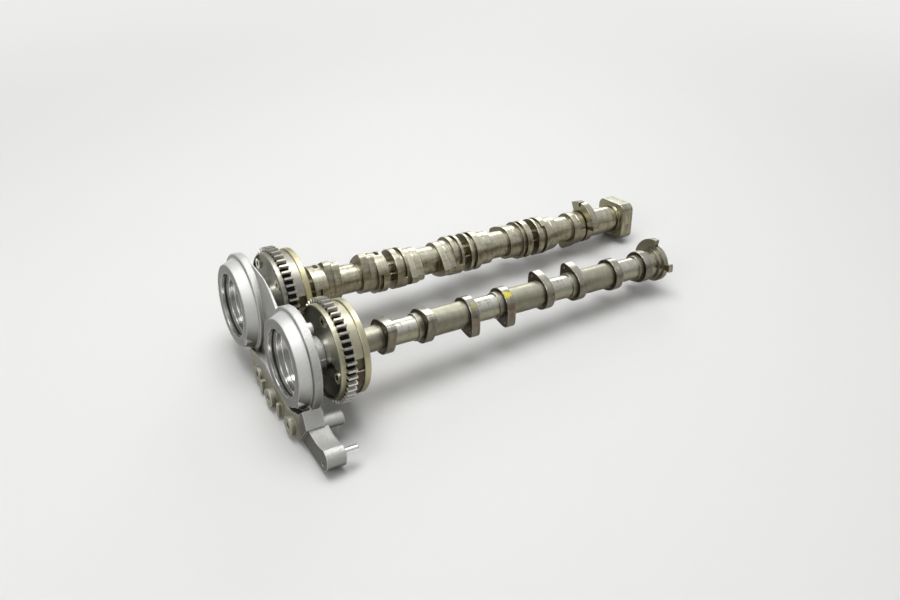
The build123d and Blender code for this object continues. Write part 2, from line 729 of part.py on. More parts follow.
def sleeve(number, front, angle, with_rear_drum):
    """Sliding lobe sleeve: shifting drum, two lobe profiles, journal, two lobe profiles and a second drum."""
    y = shaft_spacing
    first_lobes = front + sleeve_drum_length
    journal = first_lobes + 2 * sleeve_lobe_width
    second_lobes = journal + sleeve_journal_length
    rear_drum = second_lobes + 2 * sleeve_lobe_width
    end = rear_drum + (sleeve_rear_drum_length if with_rear_drum else 0)
    with BuildPart() as body:
        stack([(front, first_lobes, sleeve_drum_radius), (journal, second_lobes, sleeve_journal_radius)], y)
        for lobes in (first_lobes, second_lobes):
            width = sleeve_lobe_width - lobe_seam_width / 2
            low_front = lobes + sleeve_lobe_width + lobe_seam_width / 2
            stack([(lobes, lobes + 2 * sleeve_lobe_width, intake_base_radius - lobe_seam_depth)], y)
            lobe_solid(lobes, width, y, angle, intake_base_radius, intake_lift, intake_nose_radius)
            lobe_solid(low_front, width, y, angle, intake_base_radius, intake_low_lift, intake_nose_radius)
        if with_rear_drum:
            stack([(rear_drum, end, sleeve_drum_radius)], y)
        chamfer(rims(body, sleeve_drum_radius).group_by(Axis.X)[0], edge_break)
        # Shifting groove: two runs a step apart, which overlap where the pin crosses over.
        groove_fronts = [front + groove_first_start]
        if with_rear_drum:
            groove_fronts.append(end - groove_first_start - groove_step - groove_width)
        for groove_front in groove_fronts:
            for step, start in groove_runs:
                with BuildSketch(across(groove_front + step, y)):
                    ring_sector(
                        sleeve_drum_radius - groove_depth, sleeve_drum_radius + 1,
                        angle + start, angle + start + groove_sweep,
                    )
                extrude(amount=groove_width, mode=Mode.SUBTRACT)
        with BuildSketch(across(front, y)):
            splines(spline_tip_radius + spline_gap, spline_root_radius + spline_gap)
        extrude(amount=end - front, mode=Mode.SUBTRACT)
        # Relief for the detent ball over the sleeve's travel.
        ball = detent_x(number - 1)
        reach = detent_ball_radius + detent_side_gap
        stack([(ball - reach, ball + sleeve_travel + reach, detent_track_radius)], y, Mode.SUBTRACT)
    return keep(body, f"cam_sleeve_{number}")


def detent_ball(number):
    """Ball that a spring presses into the sleeve."""
    centre_z = spline_tip_radius - detent_ball_radius + detent_ball_lift
    with BuildPart() as ball:
        with Locations((detent_x(number - 1), shaft_spacing, centre_z)):
            Sphere(detent_ball_radius)
    return keep(ball, f"detent_ball_{number}")


def detent_spring(number):
    """Detent spring, as one closed sleeve of its outer shape."""
    base = carrier_bore_radius + detent_spring_gap
    top = spline_tip_radius + detent_ball_lift - 2 * detent_ball_radius
    radius = detent_ball_radius - detent_spring_gap
    with BuildPart() as spring:
        with BuildSketch(Plane.XY.offset(base)):
            with Locations((detent_x(number - 1), shaft_spacing)):
                Circle(radius)
                Circle(radius - detent_spring_wall, mode=Mode.SUBTRACT)
        extrude(amount=top - base)
    return keep(spring, f"detent_spring_{number}")


def intake_trigger_wheel():
    """Sector wheel behind the last sleeve, with a slot in its longest sector."""
    with BuildPart() as wheel:
        with BuildSketch(across(intake_wheel_front, shaft_spacing)):
            Circle(intake_wheel_base_radius)
            for start, end in intake_wheel_sectors:
                ring_sector(0, intake_wheel_tip_radius, start, end)
        extrude(amount=intake_wheel_thickness)
        with BuildSketch(across(intake_wheel_front, shaft_spacing, wheel_slot_angle)):
            with Locations((intake_wheel_tip_radius, 0)):
                Rectangle(2 * wheel_slot_depth, wheel_slot_width)
        extrude(amount=intake_wheel_thickness, mode=Mode.SUBTRACT)
        with BuildSketch(across(intake_wheel_front, shaft_spacing)):
            splines(spline_tip_radius, spline_root_radius)
        extrude(amount=intake_wheel_thickness, mode=Mode.SUBTRACT)
    return keep(wheel, "intake_trigger_wheel")


def pump_cam():
    """Four-sided cam that drives the fuel pump, with a raised ring on its front face."""
    with BuildPart() as cam:
        with BuildSketch(across(pump_cam_front, shaft_spacing, pump_cam_turn)) as square:
            Rectangle(2 * pump_cam_flat, 2 * pump_cam_flat)
            fillet(square.vertices(), pump_cam_corner_radius)
        extrude(amount=pump_cam_thickness)
        chamfer(cam.edges().group_by(Axis.X)[0], edge_break)
        stack([(pump_cam_front - pump_boss_height, pump_cam_front, pump_boss_radius)], shaft_spacing)
        hole(pump_cam_front - pump_boss_height, pump_boss_height, rear_journal_radius, shaft_spacing)
        hole(pump_cam_front, pump_cam_thickness, spline_root_radius, shaft_spacing)
    return keep(cam, "pump_cam")


def build_phaser(side, x, y, turn, notch_angle):
    """All pieces of one phaser, named after its side."""
    sprocket_housing(f"{side}_sprocket_housing", x, y, turn, notch_angle)
    front_plate(f"{side}_front_plate", x, y, turn)
    rear_cover(f"{side}_rear_cover", x, y, turn)
    phaser_bolts(f"{side}_phaser_bolts", x, y, turn)
    rotor(f"{side}_rotor", x, y, turn)
    lock_pin(f"{side}_lock_pin", x, y, turn)
    control_valve(f"{side}_control_valve", x, y)
    valve_spool(f"{side}_valve_spool", x, y)


bearing_bridge()
dowel_sleeve()
bore_seal("exhaust_bore_seal", 0.0, 0.0)
bore_seal("intake_bore_seal", -intake_forward, shaft_spacing)
build_phaser("exhaust", 0.0, 0.0, 0.0, exhaust_notch_angle)
build_phaser("intake", -intake_forward, shaft_spacing, intake_phaser_turn, intake_notch_angle)
exhaust_tube()
for lobe_index in range(2 * cylinders):
    lobe_cylinder, lobe_second = divmod(lobe_index, 2)
    exhaust_lobe(
        lobe_index + 1,
        first_lobe_front + lobe_cylinder * cylinder_pitch + lobe_second * lobe_pair_step,
        exhaust_nose_angles[lobe_cylinder],
    )
exhaust_trigger_wheel()
exhaust_end_plug()
carrier_shaft()
for sleeve_index in range(cylinders):
    sleeve(
        sleeve_index + 1,
        sleeve_first_front + sleeve_index * cylinder_pitch,
        intake_nose_angles[sleeve_index],
        with_rear_drum=sleeve_index < cylinders - 1,
    )
    detent_ball(sleeve_index + 1)
    detent_spring(sleeve_index + 1)
intake_trigger_wheel()
pump_cam()
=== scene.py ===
"""Looks of a camshaft set: two camshafts with their phasers, carried in one cast bearing bridge.

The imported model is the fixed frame. Each sub-assembly is a class that dresses its nodes: it gives them a finish
and soft edges. Lengths are in millimetres where a name ends in _mm, and in metres elsewhere. A Span holds the two
values of a noise, facing or place between which an effect comes in, or the limits of a roughness.
"""

from __future__ import annotations

import json
import logging
import math
from dataclasses import dataclass, field
from enum import Enum
from typing import Any, ClassVar

import bmesh
import bpy
from mathutils import Matrix, Vector

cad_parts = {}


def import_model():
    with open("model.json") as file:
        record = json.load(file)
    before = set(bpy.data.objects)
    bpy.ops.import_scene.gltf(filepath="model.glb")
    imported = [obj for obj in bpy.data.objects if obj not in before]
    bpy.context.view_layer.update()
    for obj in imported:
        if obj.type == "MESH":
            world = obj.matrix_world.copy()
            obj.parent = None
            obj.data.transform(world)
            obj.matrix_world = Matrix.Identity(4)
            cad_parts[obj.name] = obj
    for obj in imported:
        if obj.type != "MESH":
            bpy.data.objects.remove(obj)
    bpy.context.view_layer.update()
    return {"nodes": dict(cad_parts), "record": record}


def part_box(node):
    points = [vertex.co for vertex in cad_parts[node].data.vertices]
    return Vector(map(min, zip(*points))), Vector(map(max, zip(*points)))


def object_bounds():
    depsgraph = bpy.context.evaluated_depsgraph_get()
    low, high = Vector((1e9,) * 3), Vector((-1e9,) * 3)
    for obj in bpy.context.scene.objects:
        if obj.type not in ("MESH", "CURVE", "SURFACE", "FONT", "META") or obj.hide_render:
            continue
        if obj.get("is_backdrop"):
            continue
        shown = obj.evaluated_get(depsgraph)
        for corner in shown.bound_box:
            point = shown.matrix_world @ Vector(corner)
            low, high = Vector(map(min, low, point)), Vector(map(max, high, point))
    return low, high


LOG = logging.getLogger("camshaft_set")
MM = 0.001

NOWHERE = 9.0  # metres: a place past the set, for a span or height that is not wanted

AXIAL = "X"
LATERAL = "Y"
UPWARD = "Z"

Colour = tuple[float, float, float]
Point = tuple[float, float, float]
Span = tuple[float, float]

BACKDROP: Colour = (0.84, 0.84, 0.835)


class Side(Enum):
    """The two camshafts, by what they drive."""

    EXHAUST = "exhaust"
    INTAKE = "intake"


# ---- shader maths ----


class Expr:
    """One shader socket; Python arithmetic on it adds Math nodes."""

    def __init__(self, graph: "Graph", socket: bpy.types.NodeSocket) -> None:
        """Wrap a socket.

        Args:
            graph: The node tree that the socket belongs to.
            socket: The output socket that carries the value.
        """
        self.graph = graph
        self.socket = socket

    def math(self, operation: str, *others: "Expr | float", clamp: bool = False) -> "Expr":
        """Feed this value, and any others, to one Math node.

        Args:
            operation: The Math node's operation, such as ADD.
            others: The remaining operands.
            clamp: Whether the result is held between 0 and 1.

        Returns:
            The node's result.
        """
        inputs = dict(enumerate((self, *others)))
        return self.graph.node("ShaderNodeMath", {"operation": operation, "use_clamp": clamp}, inputs)

    def __add__(self, other: "Expr | float") -> "Expr":
        """Add."""
        return self.math("ADD", other)

    __radd__ = __add__

    def __sub__(self, other: "Expr | float") -> "Expr":
        """Subtract."""
        return self.math("SUBTRACT", other)

    def __rsub__(self, other: float) -> "Expr":
        """Subtract this value from a number."""
        return self.graph.node("ShaderNodeMath", {"operation": "SUBTRACT"}, {0: other, 1: self})

    def __mul__(self, other: "Expr | float") -> "Expr":
        """Multiply."""
        return self.math("MULTIPLY", other)

    __rmul__ = __mul__

    def __abs__(self) -> "Expr":
        """Absolute value."""
        return self.math("ABSOLUTE")

    def __gt__(self, other: "Expr | float") -> "Expr":
        """1 where this value is the greater one, else 0."""
        return self.math("GREATER_THAN", other)

    def __lt__(self, other: "Expr | float") -> "Expr":
        """1 where this value is the lesser one, else 0."""
        return self.math("LESS_THAN", other)

    def at_most_one(self) -> "Expr":
        """Hold the value between 0 and 1."""
        return self.math("ADD", 0.0, clamp=True)

    def rise(self, low: float, high: float) -> "Expr":
        """Smooth step.

        Args:
            low: The value that gives 0.
            high: The value that gives 1; it may be below low.

        Returns:
            0 to 1.
        """
        settings = {"interpolation_type": "SMOOTHSTEP"}
        return self.graph.node("ShaderNodeMapRange", settings, {"Value": self, "From Min": low, "From Max": high})

    def span(self, low: float, high: float) -> "Expr":
        """Take 0 to 1 linearly to low to high."""
        return self * (high - low) + low

    def swing(self, size: float) -> "Expr":
        """Take a noise around 0.5 to one around 0, scaled by size."""
        return (self - 0.5) * size

    def toward(self, other: "Expr | float", mask: "Expr") -> "Expr":
        """This value where the mask is 0, the other one where it is 1."""
        return self * (1 - mask) + mask * other


class Graph:
    """A node tree that is filled from Python expressions."""

    def __init__(self, tree: bpy.types.NodeTree) -> None:
        """Start from an empty tree.

        Args:
            tree: The tree to fill.
        """
        self.tree = tree
        self.tree.nodes.clear()

    def node(
        self,
        kind: str,
        settings: dict[str, Any] | None = None,
        inputs: dict[int | str, Any] | None = None,
        output: int | str = 0,
    ) -> Expr:
        """Add one node.

        Args:
            kind: The node's type.
            settings: The node's own properties; "stops" holds a ramp's (position, colour) pairs.
            inputs: Values or links, by socket index or name.
            output: The socket that is wanted.

        Returns:
            The wanted output.
        """
        made = self.tree.nodes.new(kind)
        for key, value in (settings or {}).items():
            if key == "stops":
                self._set_stops(made.color_ramp, value)
            else:
                setattr(made, key, value)
        for key, value in (inputs or {}).items():
            if isinstance(value, Expr):
                self.tree.links.new(value.socket, made.inputs[key])
            else:
                made.inputs[key].default_value = value
        return Expr(self, made.outputs[output])

    @staticmethod
    def _set_stops(ramp: bpy.types.ColorRamp, stops: list[tuple[float, Colour]]) -> None:
        """Fill a colour ramp with (position, colour) pairs."""
        while len(ramp.elements) < len(stops):
            ramp.elements.new(1.0)
        for element, (position, colour) in zip(ramp.elements, stops):
            element.position = position
            element.color = (*colour, 1.0)

    def part(self, vector: Expr, axis: str) -> Expr:
        """One component of a vector; axis is X, Y or Z."""
        return self.node("ShaderNodeSeparateXYZ", inputs={0: vector}, output=axis)

    def end(self, closure: Expr, kind: str) -> None:
        """Link a closure to a new output node of the given kind."""
        made = self.tree.nodes.new(kind)
        self.tree.links.new(closure.socket, made.inputs["Surface"])


class Shader(Graph):
    """Builds one material's node tree."""

    EDGE_BEND: ClassVar[Span] = (0.02, 0.16)
    UNDER_TO_SIDE: ClassVar[Span] = (-0.50, 0.20)
    SIDE_TO_TOP: ClassVar[Span] = (0.15, 0.92)
    WEAR_PER_METRE: ClassVar[float] = 420.0
    WORN: ClassVar[Span] = (0.45, 0.75)
    EASE_SAMPLES: ClassVar[int] = 6
    HOLLOW_SAMPLES: ClassVar[int] = 6
    EDGE_SAMPLES: ClassVar[int] = 4

    def __init__(self, name: str) -> None:
        """Start an empty material.

        Args:
            name: The material's name.
        """
        self.material = bpy.data.materials.new(name)
        self.material.use_nodes = True
        super().__init__(self.material.node_tree)
        self.place = self.node("ShaderNodeTexCoord", output="Object")
        self.facing = self.node("ShaderNodeTexCoord", output="Normal")

    def vector(self, x: Expr | float, y: Expr | float, z: Expr | float) -> Expr:
        """Join three values to a vector."""
        return self.node("ShaderNodeCombineXYZ", inputs={0: x, 1: y, 2: z})

    def at(self, axis: str) -> Expr:
        """The surface point's coordinate along an axis, in metres."""
        return self.part(self.place, axis)

    def faces(self, axis: str) -> Expr:
        """How far the surface faces along an axis, from -1 to 1."""
        return self.part(self.facing, axis)

    def length(self, vector: Expr) -> Expr:
        """Length of a vector."""
        return self.node("ShaderNodeVectorMath", {"operation": "LENGTH"}, {0: vector}, output="Value")

    def away(self, centre: Point) -> Expr:
        """Distance of the surface point from a centre, in metres."""
        inputs = {0: self.place, 1: centre}
        return self.node("ShaderNodeVectorMath", {"operation": "DISTANCE"}, inputs, output="Value")

    def noise(
        self, scale: float, detail: float = 3.0, roughness: float = 0.55, vector: Expr | None = None
    ) -> Expr:
        """Fractal noise around 0.5.

        Args:
            scale: Features per unit of the vector.
            detail: Octaves.
            roughness: Weight of the finer octaves.
            vector: Where it is read; the surface point, in metres, if it is left out.

        Returns:
            The noise value.
        """
        inputs = {"Vector": vector or self.place, "Scale": scale, "Detail": detail, "Roughness": roughness}
        return self.node("ShaderNodeTexNoise", inputs=inputs)

    def wear(self) -> Expr:
        """Noise of light wear on small pieces."""
        return self.noise(self.WEAR_PER_METRE, detail=4.0)

    def mix(self, factor: Expr | float, low: Expr | Colour, high: Expr | Colour) -> Expr:
        """Mix two colours.

        Args:
            factor: 0 gives low, 1 gives high.
            low: First colour.
            high: Second colour.

        Returns:
            The mixed colour.
        """
        first, second = (c if isinstance(c, Expr) else (*c, 1.0) for c in (low, high))
        return self.node("ShaderNodeMix", {"data_type": "RGBA"}, {0: factor, 6: first, 7: second}, output=2)

    def bump(self, height: Expr, depth: float, ease: float = 0.0) -> Expr:
        """Normal of a surface with relief.

        Args:
            height: The relief.
            depth: What a height of 1 stands for, in metres.
            ease: Radius that the edges are shaded round by, in metres; 0 leaves them.

        Returns:
            The normal.
        """
        inputs: dict[int | str, Any] = {"Height": height, "Distance": depth, "Strength": 1.0}
        if ease:
            inputs["Normal"] = self.node("ShaderNodeBevel", {"samples": self.EASE_SAMPLES}, {"Radius": ease})
        return self.node("ShaderNodeBump", inputs=inputs)

    def hollows(self, reach: float) -> Expr:
        """1 in narrow corners, 0 in the open; reach is how far a wall counts as near, in metres."""
        settings = {"samples": self.HOLLOW_SAMPLES, "only_local": True}
        return 1 - self.node("ShaderNodeAmbientOcclusion", settings, {"Distance": reach}, output="AO")

    def edges(self, reach: float) -> Expr:
        """1 along edges, 0 on open ground; reach is how wide an edge counts, in metres."""
        eased = self.node("ShaderNodeBevel", {"samples": self.EDGE_SAMPLES}, {"Radius": reach})
        plain = self.node("ShaderNodeNewGeometry", output="Normal")
        settings = {"operation": "DOT_PRODUCT"}
        agreement = self.node("ShaderNodeVectorMath", settings, {0: eased, 1: plain}, output="Value")
        return (1 - agreement).rise(*self.EDGE_BEND)

    def paint_light_by_facing(self, tones: "Tones", drift: Expr) -> Expr:
        """Painted light and shade: colour by how far a surface faces up.

        Args:
            tones: The three colours.
            drift: Added to the facing, so that the change is uneven.

        Returns:
            The colour.
        """
        # painted light and shade: upward faces take the light top tone, downward faces the dark under tone
        up = self.faces(UPWARD) + drift
        low = self.mix(up.rise(*self.UNDER_TO_SIDE), tones.under, tones.side)
        return self.mix(up.rise(*self.SIDE_TO_TOP), low, tones.top)

    def surface(self, **inputs: Any) -> bpy.types.Material:
        """Finish the material with a Principled shader.

        Args:
            inputs: Values or links, with underscores for the blanks in socket names.

        Returns:
            The material.
        """
        named = {key.replace("_", " "): value for key, value in inputs.items()}
        for key, value in named.items():
            if isinstance(value, tuple):
                named[key] = (*value, 1.0)
        return self.finished(self.node("ShaderNodeBsdfPrincipled", inputs=named))

    def finished(self, closure: Expr) -> bpy.types.Material:
        """Finish the material with any closure, and return it."""
        self.end(closure, "ShaderNodeOutputMaterial")
        return self.material


@dataclass(frozen=True)
class Tones:
    """A metal's colour on its upward, sideward and downward faces: painted light on top, painted shade beneath."""

    top: Colour
    side: Colour
    under: Colour


@dataclass(frozen=True)
class ShaftCoordinates:
    """Cylinder coordinates around one shaft."""

    MARKS_PER_RADIAN: ClassVar[float] = 0.8

    along: Expr
    radius: Expr
    angle: Expr

    @classmethod
    def around(cls, shader: Shader, axis_y: float) -> "ShaftCoordinates":
        """Read the coordinates of a surface point.

        Args:
            shader: The shader that needs them.
            axis_y: The shaft's lateral place, in metres.

        Returns:
            The point's place along, from and around the shaft.
        """
        lateral = shader.at(LATERAL) - axis_y
        height = shader.at(UPWARD)
        radius = shader.length(shader.vector(0.0, lateral, height))
        return cls(shader.at(AXIAL), radius, height.math("ARCTAN2", lateral))

    def within(self, spans: tuple[Span, ...]) -> Expr | float:
        """1 inside any of the spans along the shaft, in metres."""
        return sum((self.along > start) * (self.along < end) for start, end in spans)

    def rings(self, shader: Shader, pitch_mm: float) -> Expr:
        """Fine marks that run around the shaft, as a lathe or grinder leaves them."""
        per_metre = 1 / (pitch_mm * MM)
        around = self.angle * self.MARKS_PER_RADIAN
        spot = shader.vector(self.along * per_metre, self.radius * per_metre, around)
        return shader.noise(1.0, detail=4.0, roughness=0.7, vector=spot)

    def drawn_out(
        self, shader: Shader, per_metre: float, per_radian: float, detail: float, roughness: float
    ) -> Expr:
        """Noise with its own fineness along the shaft and around it; see Shader.noise for the last two."""
        spot = shader.vector(self.along * per_metre, self.angle * per_radian, 0.0)
        return shader.noise(1.0, detail, roughness, spot)


# ---- finishes ----


def scaled(colour: Colour, factor: float) -> Colour:
    """A darker or lighter version of a colour."""
    red, green, blue = colour
    return red * factor, green * factor, blue * factor


@dataclass(frozen=True)
class Film:
    """A colour that comes in over others as some measure goes from start to full."""

    colour: Colour
    amount: float = 1.0
    start: float = 0.0
    full: float = 1.0

    def rise(self, measure: Expr) -> Expr:
        """How far the film is in, from 0 to 1."""
        return measure.rise(self.start, self.full)

    def lay(self, shader: Shader, colour: Expr, mask: Expr) -> Expr:
        """Lay the film over a colour by a ready mask."""
        return shader.mix(mask * self.amount, colour, self.colour)

    def over(self, shader: Shader, colour: Expr, measure: Expr, where: Expr | float = 1.0) -> Expr:
        """Lay the film over a colour by its measure; where is 0 wherever the film may not lie."""
        return shader.mix(self.rise(measure) * (where * self.amount), colour, self.colour)


@dataclass(frozen=True)
class Finish:
    """A surface finish; each kind fills its own shader."""

    built: ClassVar[dict[str, bpy.types.Material]] = {}

    name: str

    def material(self) -> bpy.types.Material:
        """Build the material, or take the one that was built under this name."""
        if self.name not in self.built:
            self.built[self.name] = self.paint(Shader(f"{self.name}_finish"))
        return self.built[self.name]

    def paint(self, shader: Shader) -> bpy.types.Material:
        """Fill the shader.

        Args:
            shader: An empty shader with this finish's name.

        Returns:
            The finished material.
        """
        raise NotImplementedError


@dataclass(frozen=True)
class MachinedRing:
    """Where a bearing ring is turned: its axis, front face and bore."""

    axis_y: float
    front_x: float
    bore_radius: float
    bore_end_x: float


@dataclass(frozen=True)
class CastAluminium(Finish):
    """Sand-cast aluminium with turned ring faces and bores, and an oil film low down, with painted shade low down.
    """

    rings: tuple[MachinedRing, MachinedRing]
    raw: Tones = Tones((0.76, 0.76, 0.74), (0.50, 0.50, 0.48), (0.15, 0.145, 0.12))
    raw_metallic: float = 0.75
    raw_roughness: Span = (0.38, 0.52)
    grain_mm: float = 1.3
    pit_mm: float = 0.45
    blotches_per_metre: float = 38.0
    grain_share: float = 0.7
    relief_depth: float = 0.75 * MM
    drift: float = 0.5
    edge_ease: float = 1.6 * MM
    # painted shade: a darker copy of the raw tones
    shaded: Tones = Tones((0.60, 0.60, 0.55), (0.23, 0.225, 0.19), (0.055, 0.050, 0.035))
    shade_blotches: Span = (0.35, 0.75)
    shade_by_blotches: float = 0.45
    shade_heights: Span = (-0.018, -0.048)
    shade_by_height: float = 0.65
    # painted shade on the arm's forward faces
    arm_front_shade: Film = Film((0.085, 0.080, 0.060), 0.9, -0.35, -0.80)
    arm_places: Span = (-0.027, -0.035)
    smudge: Film = Film((0.12, 0.112, 0.085), 0.75, 1.0, 0.35)
    smudge_centre: Point = (0.013, -0.031, -0.036)
    smudge_radius: float = 13.0 * MM
    smudge_raggedness: float = 0.8
    oil: Film = Film((0.46, 0.43, 0.24), 0.50, 0.34, 0.56)
    oil_heights: Span = (-0.026, -0.050)
    oil_wander: float = 20.0 * MM
    speckle: Film = Film((0.16, 0.155, 0.13), 0.34)
    speckle_grain: Span = (0.40, 0.66)
    speckle_pits: Span = (0.45, 0.70)
    speckle_grain_share: float = 0.6
    dirt_and_shade: Film = Film((0.085, 0.078, 0.055), 0.82, 0.22, 0.80)
    dirt_and_shade_reach: float = 8.0 * MM
    worn_edge_and_highlight: Film = Film((0.92, 0.92, 0.89), 0.75)
    edge_width: float = 1.4 * MM
    turning_pitch_mm: float = 0.45
    turning_depth: float = 0.02
    tolerance: float = 0.35 * MM
    face: Colour = (0.115, 0.110, 0.100)
    face_marks: Span = (0.35, 0.65)
    face_roughness: float = 0.34
    face_width: float = 8.8 * MM
    # bright turned cone, with painted light: lighter where it faces up
    cone: Film = Film((0.80, 0.80, 0.785), 0.9, -0.50, 0.60)
    cone_depth: float = 9.9 * MM
    cone_width: float = 13.4 * MM
    cone_extra_roughness: float = 0.08
    bore: Colour = (0.86, 0.86, 0.85)
    bore_end: Colour = (0.40, 0.395, 0.375)
    bore_end_marks: Span = (0.30, 0.70)
    end_walls: Span = (0.55, 0.85)
    bore_roughness: float = 0.15
    bore_skin: float = 0.5 * MM
    bore_overrun: float = 0.3 * MM

    def ring_masks(self, shader: Shader, ring: MachinedRing) -> tuple[Expr, Expr, Expr]:
        """Where one ring's front face, cone and bore are, each as 1 on it."""
        spot = ShaftCoordinates.around(shader, ring.axis_y)
        depth = spot.along - ring.front_x
        behind = depth > self.tolerance
        outside = spot.radius > ring.bore_radius + self.bore_skin
        face = (abs(depth) < self.tolerance) * (spot.radius < ring.bore_radius + self.face_width)
        cone = behind * (depth < self.cone_depth) * outside * (spot.radius < ring.bore_radius + self.cone_width)
        bore = behind * (spot.along < ring.bore_end_x + self.bore_overrun) * (1 - outside)
        return face, cone, bore

    def turning_marks(self, shader: Shader) -> Expr:
        """Fine rings around the nearer of the two axes."""
        near, far = self.rings
        on_far = shader.at(LATERAL) > (near.axis_y + far.axis_y) / 2
        near_marks, far_marks = (
            ShaftCoordinates.around(shader, ring.axis_y).rings(shader, self.turning_pitch_mm) for ring in self.rings
        )
        return near_marks.toward(far_marks, on_far)

    def paint(self, shader: Shader) -> bpy.types.Material:
        """Fill the shader."""
        masks = zip(*(self.ring_masks(shader, ring) for ring in self.rings))
        face, cone, bore = ((near + far).at_most_one() for near, far in masks)
        turned = (face + bore).at_most_one()
        marks = self.turning_marks(shader)
        grain = shader.noise(1 / (self.grain_mm * MM), detail=5.0, roughness=0.62)
        pits = shader.noise(1 / (self.pit_mm * MM), detail=2.0, roughness=0.5)
        blotches = shader.noise(self.blotches_per_metre)
        drift = blotches.swing(self.drift)
        height = shader.at(UPWARD)
        arm = shader.at(LATERAL).rise(*self.arm_places)
        # painted shade: the arm's faces that look along the axis are darkened
        arm_front_shade = arm * self.arm_front_shade.rise(shader.faces(AXIAL) + drift * 0.5)

        # painted shade: low parts away from the arm, and random blotches, take the darker shaded tones; both tone
        # sets get painted light and shade by facing
        low = height.rise(*self.shade_heights) * (1 - arm)
        blotched = blotches.rise(*self.shade_blotches)
        shade = (blotched * self.shade_by_blotches + low * self.shade_by_height).at_most_one()
        colour = shader.mix(shade, shader.paint_light_by_facing(self.raw, drift), shader.paint_light_by_facing(self.shaded, drift))
        colour = self.arm_front_shade.lay(shader, colour, arm_front_shade)
        # turned cone, brighter with painted light where it faces up
        colour = self.cone.over(shader, colour, shader.faces(UPWARD) + drift * 0.4, cone)
        face_tone = shader.mix(marks.rise(*self.face_marks), self.face, scaled(self.face, 1.5))
        colour = shader.mix(face, colour, face_tone)
        oily = (height + drift * self.oil_wander).rise(*self.oil_heights) * (1 - arm) * (1 - cone)
        colour = self.oil.over(shader, colour, blotches, oily)
        speckled = grain.rise(*self.speckle_grain) * self.speckle_grain_share
        speckled = speckled + pits.rise(*self.speckle_pits) * (1 - self.speckle_grain_share)
        colour = self.speckle.lay(shader, colour, speckled * (1 - turned) * (1 - cone * 0.6))
        # dirt and painted shade: darker in hollows and narrow corners
        colour = self.dirt_and_shade.over(shader, colour, shader.hollows(self.dirt_and_shade_reach), 1 - bore)
        away = shader.away(self.smudge_centre) * (1 / self.smudge_radius)
        colour = self.smudge.over(shader, colour, away + grain.swing(self.smudge_raggedness) + drift, 1 - turned)
        end_wall = abs(shader.faces(AXIAL)).rise(*self.end_walls)
        end_tone = shader.mix(marks.rise(*self.bore_end_marks), self.bore_end, scaled(self.bore_end, 0.7))
        colour = shader.mix(bore, colour, shader.mix(end_wall, self.bore, end_tone))
        # wear and painted highlight: edges are lightened
        colour = self.worn_edge_and_highlight.lay(shader, colour, shader.edges(self.edge_width) * (1 - arm_front_shade * 0.3))

        rough = (blotches.span(*self.raw_roughness) + cone * self.cone_extra_roughness) * (1 - turned)
        rough = rough + face * self.face_roughness + bore * self.bore_roughness
        cast = grain * self.grain_share + pits * (1 - self.grain_share)
        relief = cast * (1 - turned - cone * 0.7).at_most_one() + marks * turned * self.turning_depth
        return shader.surface(
            Base_Color=colour, Metallic=turned.span(self.raw_metallic, 1.0), Roughness=rough,
            Normal=shader.bump(relief, self.relief_depth, self.edge_ease),
        )


@dataclass(frozen=True)
class PaintDab:
    """A dab of marking paint around a point."""

    ROUGHNESS: ClassVar[float] = 0.40
    RAGGEDNESS: ClassVar[float] = 1.8
    RIM: ClassVar[Span] = (1.0, 0.55)

    centre: Point
    radius: float
    colour: Colour
    strength: float = 1.0

    def mask(self, shader: Shader) -> Expr:
        """1 inside the dab, falling to 0 over a ragged edge."""
        away = shader.away(self.centre) * (1 / self.radius)
        return (away + shader.wear().swing(self.RAGGEDNESS)).rise(*self.RIM) * self.strength


